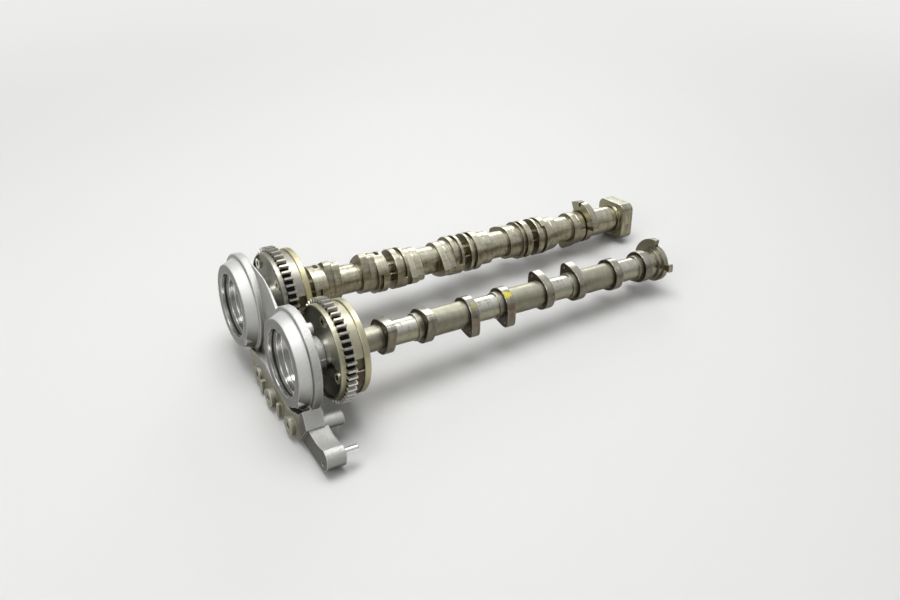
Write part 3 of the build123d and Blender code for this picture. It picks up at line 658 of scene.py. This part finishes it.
@dataclass(frozen=True)
class ShaftSteel(Finish):
    """Steel that turns on a shaft: ground around its rims, duller on its flat faces, with painted light and shade by
    facing.
    """

    axis_y: float = 0.0
    ground: Tones = Tones((0.66, 0.64, 0.56), (0.21, 0.19, 0.145), (0.18, 0.162, 0.122))
    ground_roughness: float = 0.20
    worn: Tones = Tones((0.50, 0.48, 0.40), (0.14, 0.125, 0.092), (0.125, 0.112, 0.083))
    worn_bands: Span = (0.30, 0.72)
    face: Colour = (0.055, 0.045, 0.030)
    face_roughness: float = 0.42
    face_grain_per_metre: float = 1400.0
    polished: tuple[Span, ...] = ()
    polish: Tones = Tones((0.84, 0.83, 0.75), (0.34, 0.325, 0.235), (0.25, 0.235, 0.170))
    polish_roughness: Span = (0.22, 0.36)
    oiled_bands: Span = (0.52, 0.66)
    oiled_streaks: Span = (0.40, 0.60)
    oiled_amount: float = 0.55
    mark_pitch_mm: float = 0.5
    mark_depth: float = 0.010 * MM
    streak: float = 0.5
    flat_faces: Span = (0.75, 0.95)
    blotches_per_metre: float = 70.0
    rough_blotches: Span = (0.45, 0.80)
    blotch_roughness: float = 0.12
    stain: Film = Film((0.25, 0.18, 0.095), 1.0, 0.52, 0.80)
    stain_amount: float = 0.35
    grime_and_shade: Film = Film((0.045, 0.038, 0.028), 0.85, 0.30, 0.90)
    grime_and_shade_reach: float = 3.0 * MM
    worn_edge_and_highlight: Film = Film((0.86, 0.85, 0.80))
    edge_amount: float = 0.6
    edge_width: float = 0.45 * MM
    dabs: tuple[PaintDab, ...] = ()
    glint: Colour = (1.0, 1.0, 0.97)
    glints: tuple[Point, ...] = ()
    glint_radii: Span = (1.04 * MM, 0.56 * MM)

    def paint(self, shader: Shader) -> bpy.types.Material:
        """Fill the shader."""
        spot = ShaftCoordinates.around(shader, self.axis_y)
        flat = abs(shader.faces(AXIAL)).rise(*self.flat_faces)
        marks = spot.rings(shader, self.mark_pitch_mm)
        bands = spot.drawn_out(shader, per_metre=260.0, per_radian=1.2, detail=3.0, roughness=0.6)
        streaks = spot.drawn_out(shader, per_metre=45.0, per_radian=4.0, detail=2.0, roughness=0.5)
        blotches = shader.noise(self.blotches_per_metre, detail=4.0, roughness=0.6)
        drift = streaks.swing(self.streak)

        # painted light and shade: ground and worn tones by facing
        ground, worn = shader.paint_light_by_facing(self.ground, drift), shader.paint_light_by_facing(self.worn, drift)
        colour = shader.mix(bands.rise(*self.worn_bands), ground, worn)
        rough = marks.span(self.ground_roughness - 0.06, self.ground_roughness + 0.10)
        if self.polished:
            polished = spot.within(self.polished)
            # painted light and shade on the polished journals too
            colour = shader.mix(polished * bands.span(1.0, 0.7), colour, shader.paint_light_by_facing(self.polish, drift))
            rough = rough.toward(marks.span(*self.polish_roughness), polished)
            oiled = bands.rise(*self.oiled_bands) * streaks.rise(*self.oiled_streaks) * polished
            colour = shader.mix(oiled * self.oiled_amount, colour, self.stain.colour)
        colour = self.stain.over(shader, colour, blotches, self.stain_amount)
        colour = shader.mix(flat, colour, self.face)
        # grime and painted shade: darker in hollows and corners
        colour = self.grime_and_shade.over(shader, colour, shader.hollows(self.grime_and_shade_reach))
        # wear and painted highlight: edges are lightened
        colour = self.worn_edge_and_highlight.lay(shader, colour, shader.edges(self.edge_width) * self.edge_amount)
        rough = rough + blotches.rise(*self.rough_blotches) * self.blotch_roughness
        rough = rough.toward(self.face_roughness, flat)

        metal: Expr | float = 1.0
        for dab in self.dabs:
            cover = dab.mask(shader)
            colour = shader.mix(cover, colour, dab.colour)
            rough = rough.toward(dab.ROUGHNESS, cover)
            metal = (1 - cover) * metal
        # painted glints: white dots at the given centres
        for centre in self.glints:
            colour = shader.mix(shader.away(centre).rise(*self.glint_radii), colour, self.glint)
        relief = marks.toward(shader.noise(self.face_grain_per_metre, detail=2.0), flat)
        return shader.surface(
            Base_Color=colour, Metallic=metal, Roughness=rough, Normal=shader.bump(relief, self.mark_depth),
        )


@dataclass(frozen=True)
class SinteredSteel(Finish):
    """Oil-tinted sintered steel of a phaser, with painted shade between its teeth, painted brown shade low down
    behind them on the near side, and a painted highlight bar along its top.
    """

    axis_y: float
    light: Tones
    band_start: float = NOWHERE
    band_end: float = NOWHERE
    band: Tones = Tones((0.50, 0.48, 0.40), (0.50, 0.49, 0.46), (0.74, 0.76, 0.82))
    gap_shade: Colour = (0.018, 0.016, 0.014)
    gap_shade_radii: Span = (44.3 * MM, 42.8 * MM)
    inside: Colour = (0.10, 0.09, 0.06)
    inner_radius: float = 40.5 * MM
    tooth_clearance: float = 1.0 * MM
    band_margin: float = 0.2 * MM
    shade_brown: Colour = (0.075, 0.052, 0.036)
    shade_top_z: float = -NOWHERE
    highlight_bar: Film = Film((0.72, 0.60, 0.50), 0.8)
    highlight_bar_height: float = 1.8 * MM
    grime_and_shade: Film = Film((0.05, 0.042, 0.025), 0.8, 0.35, 0.95)
    grime_and_shade_reach: float = 3.0 * MM
    worn_edge_and_highlight: Film = Film((0.88, 0.86, 0.74), 0.6)
    edge_width: float = 0.45 * MM
    roughness: Span = (0.28, 0.48)
    blotches_per_metre: float = 45.0
    grain_per_metre: float = 1500.0
    mark_pitch_mm: float = 0.4
    mark_depth: float = 0.02 * MM

    def paint(self, shader: Shader) -> bpy.types.Material:
        """Fill the shader."""
        spot = ShaftCoordinates.around(shader, self.axis_y)
        blotches = shader.noise(self.blotches_per_metre, detail=4.0, roughness=0.6)
        streaks = spot.drawn_out(shader, per_metre=90.0, per_radian=3.0, detail=3.0, roughness=0.5)
        marks = spot.rings(shader, self.mark_pitch_mm)
        # painted light and shade by facing
        colour = shader.paint_light_by_facing(self.light, blotches.swing(0.5) + streaks.swing(0.4))

        band = ((self.band_start + self.band_margin, self.band_end - self.band_margin),)
        toothed = spot.within(band) * (spot.radius > self.inner_radius + self.tooth_clearance)
        # teeth band tones: painted light and shade by facing, here brightest beneath
        colour = shader.mix(toothed, colour, shader.paint_light_by_facing(self.band, blotches.swing(0.6)))
        # painted shade: the gaps between the teeth are dark
        gap_shade_mask = spot.radius.rise(*self.gap_shade_radii) * toothed
        colour = shader.mix(gap_shade_mask, colour, self.gap_shade)

        height = shader.at(UPWARD)
        # painted shade: the near side behind the teeth goes dark brown below a height, with a painted highlight bar
        # along that line
        behind = (spot.along > self.band_end) * (shader.at(LATERAL) < self.axis_y)
        colour = shader.mix(behind * (height < self.shade_top_z), colour, self.shade_brown)
        highlight_bar_middle = self.shade_top_z - self.highlight_bar_height / 2
        colour = self.highlight_bar.lay(shader, colour, behind * (abs(height - highlight_bar_middle) < self.highlight_bar_height / 2))
        colour = shader.mix(spot.radius < self.inner_radius, colour, self.inside)
        # grime and painted shade: darker in hollows and corners
        colour = self.grime_and_shade.over(shader, colour, shader.hollows(self.grime_and_shade_reach))
        # wear and painted highlight: edges are lightened, except in the tooth gaps
        colour = self.worn_edge_and_highlight.lay(shader, colour, shader.edges(self.edge_width) * (1 - gap_shade_mask))
        relief = (marks + shader.noise(self.grain_per_metre, detail=2.0)) * 0.5
        return shader.surface(
            Base_Color=colour, Metallic=1.0, Roughness=blotches.span(*self.roughness),
            Normal=shader.bump(relief, self.mark_depth),
        )


@dataclass(frozen=True)
class MirrorPlate(Finish):
    """Ground phaser plate with a painted reflection: light olive above, black below a soft line through the axis."""

    axis_y: float
    # painted reflection colours
    upper_reflection: Colour = (0.66, 0.65, 0.53)
    upper_far_reflection: Colour = (0.27, 0.27, 0.215)
    lower_reflection: Colour = (0.016, 0.015, 0.013)
    far_to_near: Span = (-0.1, 0.75)
    line_heights: Span = (1.5 * MM, -2.5 * MM)
    line_wander: float = 6.0 * MM
    roughness: Span = (0.15, 0.32)
    upper_extra_roughness: float = 0.20
    upper_heights: Span = (-0.5 * MM, 1.5 * MM)
    grime_and_shade: Film = Film((0.02, 0.018, 0.014), 0.9, 0.30, 0.90)
    grime_and_shade_reach: float = 2.5 * MM
    blotches_per_metre: float = 60.0
    mark_pitch_mm: float = 0.35
    mark_depth: float = 0.004 * MM

    def paint(self, shader: Shader) -> bpy.types.Material:
        """Fill the shader."""
        spot = ShaftCoordinates.around(shader, self.axis_y)
        blotches = shader.noise(self.blotches_per_metre, detail=4.0, roughness=0.6)
        marks = spot.rings(shader, self.mark_pitch_mm)
        height = shader.at(UPWARD) + blotches.swing(self.line_wander)
        # painted reflection: lighter toward the near side above the line, black below it
        nearness = spot.angle.math("COSINE") * -1.0
        colour = shader.mix(nearness.rise(*self.far_to_near), self.upper_far_reflection, self.upper_reflection)
        colour = shader.mix(height.rise(*self.line_heights), colour, self.lower_reflection)
        # grime and painted shade: darker in hollows and corners
        colour = self.grime_and_shade.over(shader, colour, shader.hollows(self.grime_and_shade_reach))
        rough = blotches.span(*self.roughness) + height.rise(*self.upper_heights) * self.upper_extra_roughness
        return shader.surface(
            Base_Color=colour, Metallic=1.0, Roughness=rough, Normal=shader.bump(marks, self.mark_depth),
        )


@dataclass(frozen=True)
class PlainSteel(Finish):
    """Small steel pieces: one tint with light wear."""

    tint: Colour = (0.55, 0.54, 0.50)
    roughness: float = 0.30
    grime_and_shade: Film = Film((0.03, 0.03, 0.028), 0.8, 0.4, 0.9)
    grime_and_shade_reach: float = 1.5 * MM
    relief_depth: float = 0.01 * MM

    def paint(self, shader: Shader) -> bpy.types.Material:
        """Fill the shader."""
        wear = shader.wear()
        colour = shader.mix(wear.rise(*shader.WORN) * 0.5, self.tint, scaled(self.tint, 0.6))
        # grime and painted shade: darker in hollows and corners
        colour = self.grime_and_shade.over(shader, colour, shader.hollows(self.grime_and_shade_reach))
        rough = wear.span(self.roughness - 0.08, self.roughness + 0.12)
        return shader.surface(
            Base_Color=colour, Metallic=1.0, Roughness=rough, Normal=shader.bump(wear, self.relief_depth),
        )


@dataclass(frozen=True)
class BoltSteel(Finish):
    """Bolt heads on a circle: bright rims around star-shaped sockets painted dark as shade."""

    axis_y: float
    first_angle: float
    circle_radius: float = 34.4 * MM
    count: int = 4
    rim: Colour = (0.88, 0.88, 0.70)
    roughness: Span = (0.26, 0.42)
    socket: Colour = (0.015, 0.014, 0.012)
    socket_shade_radii: Span = (3.0 * MM, 2.4 * MM)
    points: float = 6.0
    point_height: float = 0.35 * MM

    def paint(self, shader: Shader) -> bpy.types.Material:
        """Fill the shader."""
        spot = ShaftCoordinates.around(shader, self.axis_y)
        pitch = math.tau / self.count
        turns = (spot.angle - (self.first_angle - pitch / 2)) * (1 / pitch)
        aside = turns.math("FRACT").swing(pitch * self.circle_radius)
        outward = spot.radius - self.circle_radius
        star = (outward.math("ARCTAN2", aside) * self.points).math("COSINE") * self.point_height
        from_centre = shader.length(shader.vector(aside, outward, 0.0)) + star
        wear = shader.wear()
        colour = shader.mix(wear.rise(*shader.WORN) * 0.4, self.rim, scaled(self.rim, 0.6))
        # painted shade: the star-shaped sockets are dark
        colour = shader.mix(from_centre.rise(*self.socket_shade_radii), colour, self.socket)
        return shader.surface(Base_Color=colour, Metallic=1.0, Roughness=wear.span(*self.roughness))


@dataclass(frozen=True)
class SealRubber(Finish):
    """Black rubber with a faint oil sheen, in a bright steel case behind the lip."""

    case_from_x: float
    case: Colour = (0.62, 0.62, 0.60)
    dark: Colour = (0.012, 0.012, 0.012)
    light: Colour = (0.028, 0.028, 0.026)
    roughness: Span = (0.28, 0.45)
    mottles_per_metre: float = 300.0
    relief_depth: float = 0.05 * MM

    def paint(self, shader: Shader) -> bpy.types.Material:
        """Fill the shader."""
        mottle = shader.noise(self.mottles_per_metre)
        case = shader.at(AXIAL) > self.case_from_x
        colour = shader.mix(case, shader.mix(mottle, self.dark, self.light), self.case)
        return shader.surface(
            Base_Color=colour, Metallic=case, Roughness=mottle.span(*self.roughness),
            Normal=shader.bump(mottle, self.relief_depth),
        )


@dataclass(frozen=True)
class StudioFloor(Finish):
    """Pale matt floor that fades to the backdrop far from the set."""

    tone: Colour = (0.74, 0.74, 0.73)
    roughness: float = 0.75
    clouds_per_metre: float = 2.5
    centre: Point = (0.22, 0.05, 0.0)
    fade: Span = (0.55, 1.7)

    def paint(self, shader: Shader) -> bpy.types.Material:
        """Fill the shader."""
        colour = shader.mix(shader.noise(self.clouds_per_metre), self.tone, scaled(self.tone, 0.97))
        paper = shader.node("ShaderNodeBsdfPrincipled", inputs={"Base Color": colour, "Roughness": self.roughness})
        glow = shader.node("ShaderNodeEmission", inputs={"Color": (*BACKDROP, 1.0), "Strength": 1.0})
        seen = shader.node("ShaderNodeLightPath", output="Is Camera Ray")
        far = shader.away(self.centre).rise(*self.fade) * seen
        return shader.finished(shader.node("ShaderNodeMixShader", inputs={0: far, 1: paper, 2: glow}))


# ---- pieces ----


WELD_REACH = 0.002 * MM
EASE_SEGMENTS = 2
SHARP_FROM_DEGREES = 32


def ease_edges(piece: bpy.types.Object, width_mm: float) -> None:
    """Round a node's sharp edges with modifiers, without touching its mesh.

    Args:
        piece: The node's object.
        width_mm: Width of the rounding.
    """
    weld = piece.modifiers.new("join", "WELD")
    weld.merge_threshold = WELD_REACH
    bevel = piece.modifiers.new("ease", "BEVEL")
    bevel.width = width_mm * MM
    bevel.segments = EASE_SEGMENTS
    bevel.limit_method = "ANGLE"
    bevel.angle_limit = math.radians(SHARP_FROM_DEGREES)
    bevel.use_clamp_overlap = True
    bevel.harden_normals = False
    shade = piece.modifiers.new("shade", "WEIGHTED_NORMAL")
    shade.keep_sharp = False


@dataclass
class SubAssembly:
    """A group of nodes that is dressed together."""

    nodes: dict[str, bpy.types.Object]

    def dress(self, name: str, finish: Finish, edge_mm: float = 0.25) -> None:
        """Give one node its finish and soft edges.

        Args:
            name: The node.
            finish: What it wears.
            edge_mm: Rounding of its edges; 0 leaves them as they are.
        """
        piece = self.nodes[name]
        material = finish.material()
        for slot in piece.material_slots:
            slot.material = material
        if edge_mm:
            ease_edges(piece, edge_mm)
        LOG.info("dressed %s with %s", name, finish.name)


@dataclass
class BearingBridge(SubAssembly):
    """The casting that carries both shafts, its dowel and the bore seals."""

    mounts: dict[str, dict[str, Any]]

    def ring(self, side: Side) -> MachinedRing:
        """One turned ring, from the record's bore mount."""
        bore = self.mounts[f"{side.value}_bore"]
        x, y, _ = bore["pos_m"]
        return MachinedRing(y, x, bore["dims"]["r_mm"] * MM, x + bore["dims"]["length_mm"] * MM)

    def build(self) -> None:
        """Dress the casting and what is seated in it."""
        rings = (self.ring(Side.EXHAUST), self.ring(Side.INTAKE))
        self.dress("bearing_bridge", CastAluminium("cast_aluminium", rings), 0.8)
        self.dress("dowel_sleeve", PlainSteel("dowel_steel", tint=(0.88, 0.88, 0.86), roughness=0.34), 0.15)
        for side in Side:
            seal = f"{side.value}_bore_seal"
            low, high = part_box(seal)
            self.dress(seal, SealRubber(f"{side.value}_seal_rubber", case_from_x=(low[0] + high[0]) / 2), 0.0)


@dataclass
class Phaser(SubAssembly):
    """One cam phaser: sprocket, plates, bolts, rotor and control valve."""

    side: Side
    axis_y: float
    front_x: float
    light: Tones
    cover: Tones
    bolt_angle: float
    # height below which the phaser's near side gets painted brown shade
    shade_top_z: float = -NOWHERE
    band: Span = (40.0 * MM, 48.8 * MM)

    def build(self) -> None:
        """Dress the phaser's nodes."""
        side, axis_y = self.side.value, self.axis_y
        band_start, band_end = (self.front_x + edge for edge in self.band)
        sintered = SinteredSteel(
            f"{side}_sintered_steel", axis_y, self.light, band_start, band_end, shade_top_z=self.shade_top_z,
        )
        self.dress(f"{side}_sprocket_housing", sintered, 0.25)
        cover = SinteredSteel(f"{side}_cover_steel", axis_y, self.cover, inner_radius=0.0)
        self.dress(f"{side}_rear_cover", cover, 0.4)
        self.dress(f"{side}_front_plate", MirrorPlate(f"{side}_reflection_plate", axis_y), 0.2)
        bolts = BoltSteel(f"{side}_bolt_steel", axis_y, math.radians(self.bolt_angle))
        self.dress(f"{side}_phaser_bolts", bolts, 0.2)
        turned = ShaftSteel(
            f"{side}_valve_steel", axis_y, face=(0.34, 0.33, 0.29), stain_amount=0.1,
            ground=Tones((0.92, 0.92, 0.90), (0.74, 0.74, 0.72), (0.40, 0.39, 0.35)),
            worn=Tones((0.82, 0.82, 0.80), (0.64, 0.63, 0.60), (0.30, 0.29, 0.25)),
        )
        for part in ("control_valve", "valve_spool", "lock_pin"):
            self.dress(f"{side}_{part}", turned, 0.15)
        # painted reflection on the rotor hub too
        hub = MirrorPlate(f"{side}_hub_steel", axis_y, lower_reflection=(0.03, 0.027, 0.022))
        self.dress(f"{side}_rotor", hub, 0.15)


@dataclass
class ExhaustCamshaft(SubAssembly):
    """Tube with eight pressed lobes, a trigger wheel and an end plug."""

    lobe_count: int = 8
    nose_angles: tuple[float, ...] = (135.0, 225.0, 45.0, 315.0)
    punch_reach: float = 18.7 * MM
    punch_depth: float = 1.0 * MM
    neck: float = 5.3 * MM

    def journals(self) -> tuple[Span, ...]:
        """The polished spans of the tube, from each pair's first lobe to the neck ahead of its second."""
        spans = []
        for number in range(1, self.lobe_count, 2):
            _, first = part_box(f"exhaust_lobe_{number}")
            second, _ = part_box(f"exhaust_lobe_{number + 1}")
            spans.append((first[0], second[0] - self.neck))
        return tuple(spans)

    def punch_mark(self, number: int) -> Point:
        """The floor of a lobe's punch mark, near its nose."""
        low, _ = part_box(f"exhaust_lobe_{number}")
        angle = math.radians(self.nose_angles[(number - 1) // 2])
        return low[0] + self.punch_depth, self.punch_reach * math.cos(angle), self.punch_reach * math.sin(angle)

    def build(self) -> None:
        """Dress the exhaust camshaft's nodes."""
        tube = ShaftSteel(
            "tube_steel", ground=Tones((0.55, 0.54, 0.43), (0.25, 0.24, 0.17), (0.20, 0.187, 0.130)),
            worn=Tones((0.46, 0.45, 0.35), (0.20, 0.19, 0.13), (0.155, 0.145, 0.100)), ground_roughness=0.38,
            face=(0.14, 0.125, 0.09), stain_amount=0.3, streak=0.25, polished=self.journals(), edge_amount=0.3,
        )
        self.dress("exhaust_tube", tube, 0.3)
        self.dress("exhaust_end_plug", tube, 0.2)
        lobes = range(1, self.lobe_count + 1)
        # the punch marks carry painted glints
        punch_glints = tuple(self.punch_mark(number) for number in lobes)
        lobe = ShaftSteel("lobe_steel", ground_roughness=0.22, glints=punch_glints, dabs=(
            PaintDab((0.2236, -0.0080, 0.0143), 4.6 * MM, (0.74, 0.66, 0.03)),
            PaintDab((0.2245, -0.0150, 0.0040), 5.0 * MM, (0.15, 0.065, 0.035), 0.7),
            PaintDab((0.2245, -0.0160, -0.0060), 4.0 * MM, (0.20, 0.075, 0.045), 0.6),
            PaintDab((0.1845, -0.0094, 0.0135), 3.2 * MM, (0.40, 0.36, 0.07), 0.8),
            PaintDab((0.1845, -0.0170, -0.0015), 5.0 * MM, (0.22, 0.13, 0.085), 0.6),
            PaintDab((0.3590, -0.0104, 0.0128), 2.8 * MM, (0.42, 0.40, 0.14), 0.8),
            PaintDab((0.2718, -0.0115, 0.0118), 2.8 * MM, (0.25, 0.15, 0.08), 0.7),
            PaintDab((0.3120, -0.0115, 0.0118), 2.6 * MM, (0.27, 0.16, 0.09), 0.6),
        ))
        for number in lobes:
            self.dress(f"exhaust_lobe_{number}", lobe, 0.2)
        self.dress("exhaust_trigger_wheel", ShaftSteel(
            "exhaust_wheel_steel", face=(0.22, 0.205, 0.14), face_roughness=0.35,
            ground=Tones((0.66, 0.63, 0.50), (0.36, 0.33, 0.23), (0.14, 0.12, 0.075)),
        ), 0.2)


@dataclass
class IntakeCamshaft(SubAssembly):
    """Carrier shaft with four sliding sleeves, a trigger wheel and the pump cam."""

    axis_y: float
    sleeve_count: int = 4

    def build(self) -> None:
        """Dress the intake camshaft's nodes."""
        gold = Tones((0.84, 0.81, 0.66), (0.34, 0.31, 0.21), (0.22, 0.197, 0.130))
        gold_worn = Tones((0.62, 0.59, 0.45), (0.20, 0.172, 0.108), (0.145, 0.127, 0.080))
        sleeve = ShaftSteel(
            "sleeve_steel", axis_y=self.axis_y, ground=gold, worn=gold_worn, face=(0.17, 0.15, 0.09),
            ground_roughness=0.27, streak=0.9, edge_amount=0.75,
        )
        inner = PlainSteel("detent_steel")
        for number in range(1, self.sleeve_count + 1):
            self.dress(f"cam_sleeve_{number}", sleeve, 0.25)
            self.dress(f"detent_ball_{number}", inner, 0.0)
            self.dress(f"detent_spring_{number}", inner, 0.0)
        journal = ShaftSteel("journal_steel", axis_y=self.axis_y, ground=gold, worn=gold_worn, streak=0.5)
        self.dress("carrier_shaft", journal, 0.2)
        wheel = ShaftSteel(
            "intake_wheel_steel", axis_y=self.axis_y, face=(0.27, 0.25, 0.16), face_roughness=0.32,
            ground=Tones((0.68, 0.66, 0.52), (0.38, 0.35, 0.23), (0.14, 0.12, 0.07)),
        )
        self.dress("intake_trigger_wheel", wheel, 0.2)
        self.dress("pump_cam", wheel, 0.5)


# ---- studio ----


@dataclass
class Softbox:
    """A square area light that looks at the set."""

    name: str
    place: Point
    size: float
    power: float

    def build(self, target: Vector) -> None:
        """Put the light in the scene, turned to the target."""
        data = bpy.data.lights.new(self.name, "AREA")
        data.shape = "RECTANGLE"
        data.size = self.size
        data.size_y = self.size
        data.energy = self.power
        lamp = bpy.data.objects.new(self.name, data)
        lamp.location = self.place
        lamp.rotation_euler = (target - Vector(self.place)).to_track_quat("-Z", "Y").to_euler()
        bpy.context.scene.collection.objects.link(lamp)


@dataclass
class Studio:
    """Floor, world, lights and camera."""

    nodes: dict[str, bpy.types.Object]
    floor_normal: Vector = field(default_factory=lambda: Vector((-0.083, -0.024, 0.996)).normalized())
    floor_reach: float = 6.0
    floor_sides: int = 96
    camera_place: Point = (-0.20877, -0.56515, 0.41495)
    camera_forward: Point = (0.4759, 0.7204, -0.5045)
    camera_down: Point = (-0.2209, -0.4572, -0.8615)
    camera_clip: float = 0.01
    sensor_width_mm: float = 36.0
    focal_pixels: float = 857.6
    picture_width: int = 900
    sky_level: Colour = (0.16, 0.16, 0.16)
    sky_top: Colour = (0.50, 0.50, 0.50)
    backdrop_in_gloss: float = 0.25

    def build(self) -> None:
        """Make everything around the object."""
        bpy.context.scene.view_settings.view_transform = "Standard"
        self.add_floor()
        self.add_world()
        self.add_lights()
        self.add_camera()

    def add_floor(self) -> None:
        """Lay a pale floor under the lowest points, tilted as the set rests."""
        normal = self.floor_normal
        level = min(normal.dot(v.co) for piece in self.nodes.values() for v in piece.data.vertices)
        mesh = bpy.data.meshes.new("studio_floor")
        work = bmesh.new()
        bmesh.ops.create_circle(work, cap_ends=True, segments=self.floor_sides, radius=self.floor_reach)
        work.to_mesh(mesh)
        work.free()
        floor = bpy.data.objects.new("studio_floor", mesh)
        bpy.context.scene.collection.objects.link(floor)
        floor.matrix_world = Matrix.Translation(normal * level) @ normal.to_track_quat("Z", "Y").to_matrix().to_4x4()
        mesh.materials.append(StudioFloor("studio_floor_paint").material())
        floor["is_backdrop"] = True

    def add_world(self) -> None:
        """Light the set from a sky that is brighter overhead, and show the camera a pale backdrop."""
        world = bpy.data.worlds.new("studio_world")
        bpy.context.scene.world = world
        world.use_nodes = True
        graph = Graph(world.node_tree)
        upward = graph.part(graph.node("ShaderNodeTexCoord", output="Generated"), UPWARD)
        stops = [(0.0, self.sky_level), (1.0, self.sky_top)]
        sky = graph.node("ShaderNodeValToRGB", {"stops": stops}, {"Fac": upward})
        light = graph.node("ShaderNodeBackground", inputs={"Color": sky})
        backdrop = graph.node("ShaderNodeBackground", inputs={"Color": (*BACKDROP, 1.0)})
        seen = graph.node("ShaderNodeLightPath", output="Is Camera Ray")
        mirrored = graph.node("ShaderNodeLightPath", output="Is Glossy Ray") * self.backdrop_in_gloss
        share = seen.math("MAXIMUM", mirrored)
        mixed = graph.node("ShaderNodeMixShader", inputs={0: share, 1: light, 2: backdrop})
        graph.end(mixed, "ShaderNodeOutputWorld")

    def add_lights(self) -> None:
        """Hang the softboxes."""
        low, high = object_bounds()
        target = (Vector(low) + Vector(high)) / 2
        for box in (
            Softbox("key_overhead", (0.05, 0.20, 1.6), 1.1, 21.0),
            Softbox("fill_left", (-1.5, -0.5, 1.0), 0.8, 6.0),
            Softbox("rim_back", (1.2, 1.4, 0.9), 0.9, 6.0),
        ):
            box.build(target)

    def add_camera(self) -> None:
        """Place the camera at the fitted viewpoint."""
        data = bpy.data.cameras.new("studio_camera")
        data.sensor_width = self.sensor_width_mm
        data.lens = self.focal_pixels / self.picture_width * self.sensor_width_mm
        data.clip_start = self.camera_clip
        forward = Vector(self.camera_forward).normalized()
        up = -Vector(self.camera_down)
        right = forward.cross(up).normalized()
        up = right.cross(forward)
        turn = Matrix((right, up, -forward)).transposed().to_4x4()
        camera = bpy.data.objects.new("studio_camera", data)
        camera.matrix_world = Matrix.Translation(self.camera_place) @ turn
        bpy.context.scene.collection.objects.link(camera)
        bpy.context.scene.camera = camera


def main() -> None:
    """Build the studio and every sub-assembly around the frame."""
    logging.basicConfig(level=logging.INFO)
    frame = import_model()
    nodes = frame["nodes"]
    mounts = {mount["name"]: mount for mount in frame["record"]["mounts"]}
    exhaust_x, exhaust_y, _ = mounts["exhaust_bore"]["pos_m"]
    intake_x, intake_y, _ = mounts["intake_bore"]["pos_m"]
    Studio(nodes).build()
    for part in (
        BearingBridge(nodes, mounts),
        Phaser(
            nodes, Side.EXHAUST, exhaust_y, exhaust_x,
            light=Tones((0.60, 0.575, 0.44), (0.46, 0.435, 0.31), (0.24, 0.22, 0.15)),
            cover=Tones((0.62, 0.59, 0.43), (0.46, 0.425, 0.28), (0.25, 0.225, 0.14)),
            bolt_angle=99.0, shade_top_z=2.2 * MM,
        ),
        Phaser(
            nodes, Side.INTAKE, intake_y, intake_x,
            light=Tones((0.50, 0.47, 0.40), (0.30, 0.29, 0.28), (0.20, 0.19, 0.17)),
            cover=Tones((0.66, 0.61, 0.38), (0.50, 0.44, 0.24), (0.28, 0.24, 0.13)), bolt_angle=44.0,
        ),
        ExhaustCamshaft(nodes),
        IntakeCamshaft(nodes, intake_y),
    ):
        part.build()
        LOG.info("built %s", type(part).__name__)


if __name__ == "__main__":
    main()
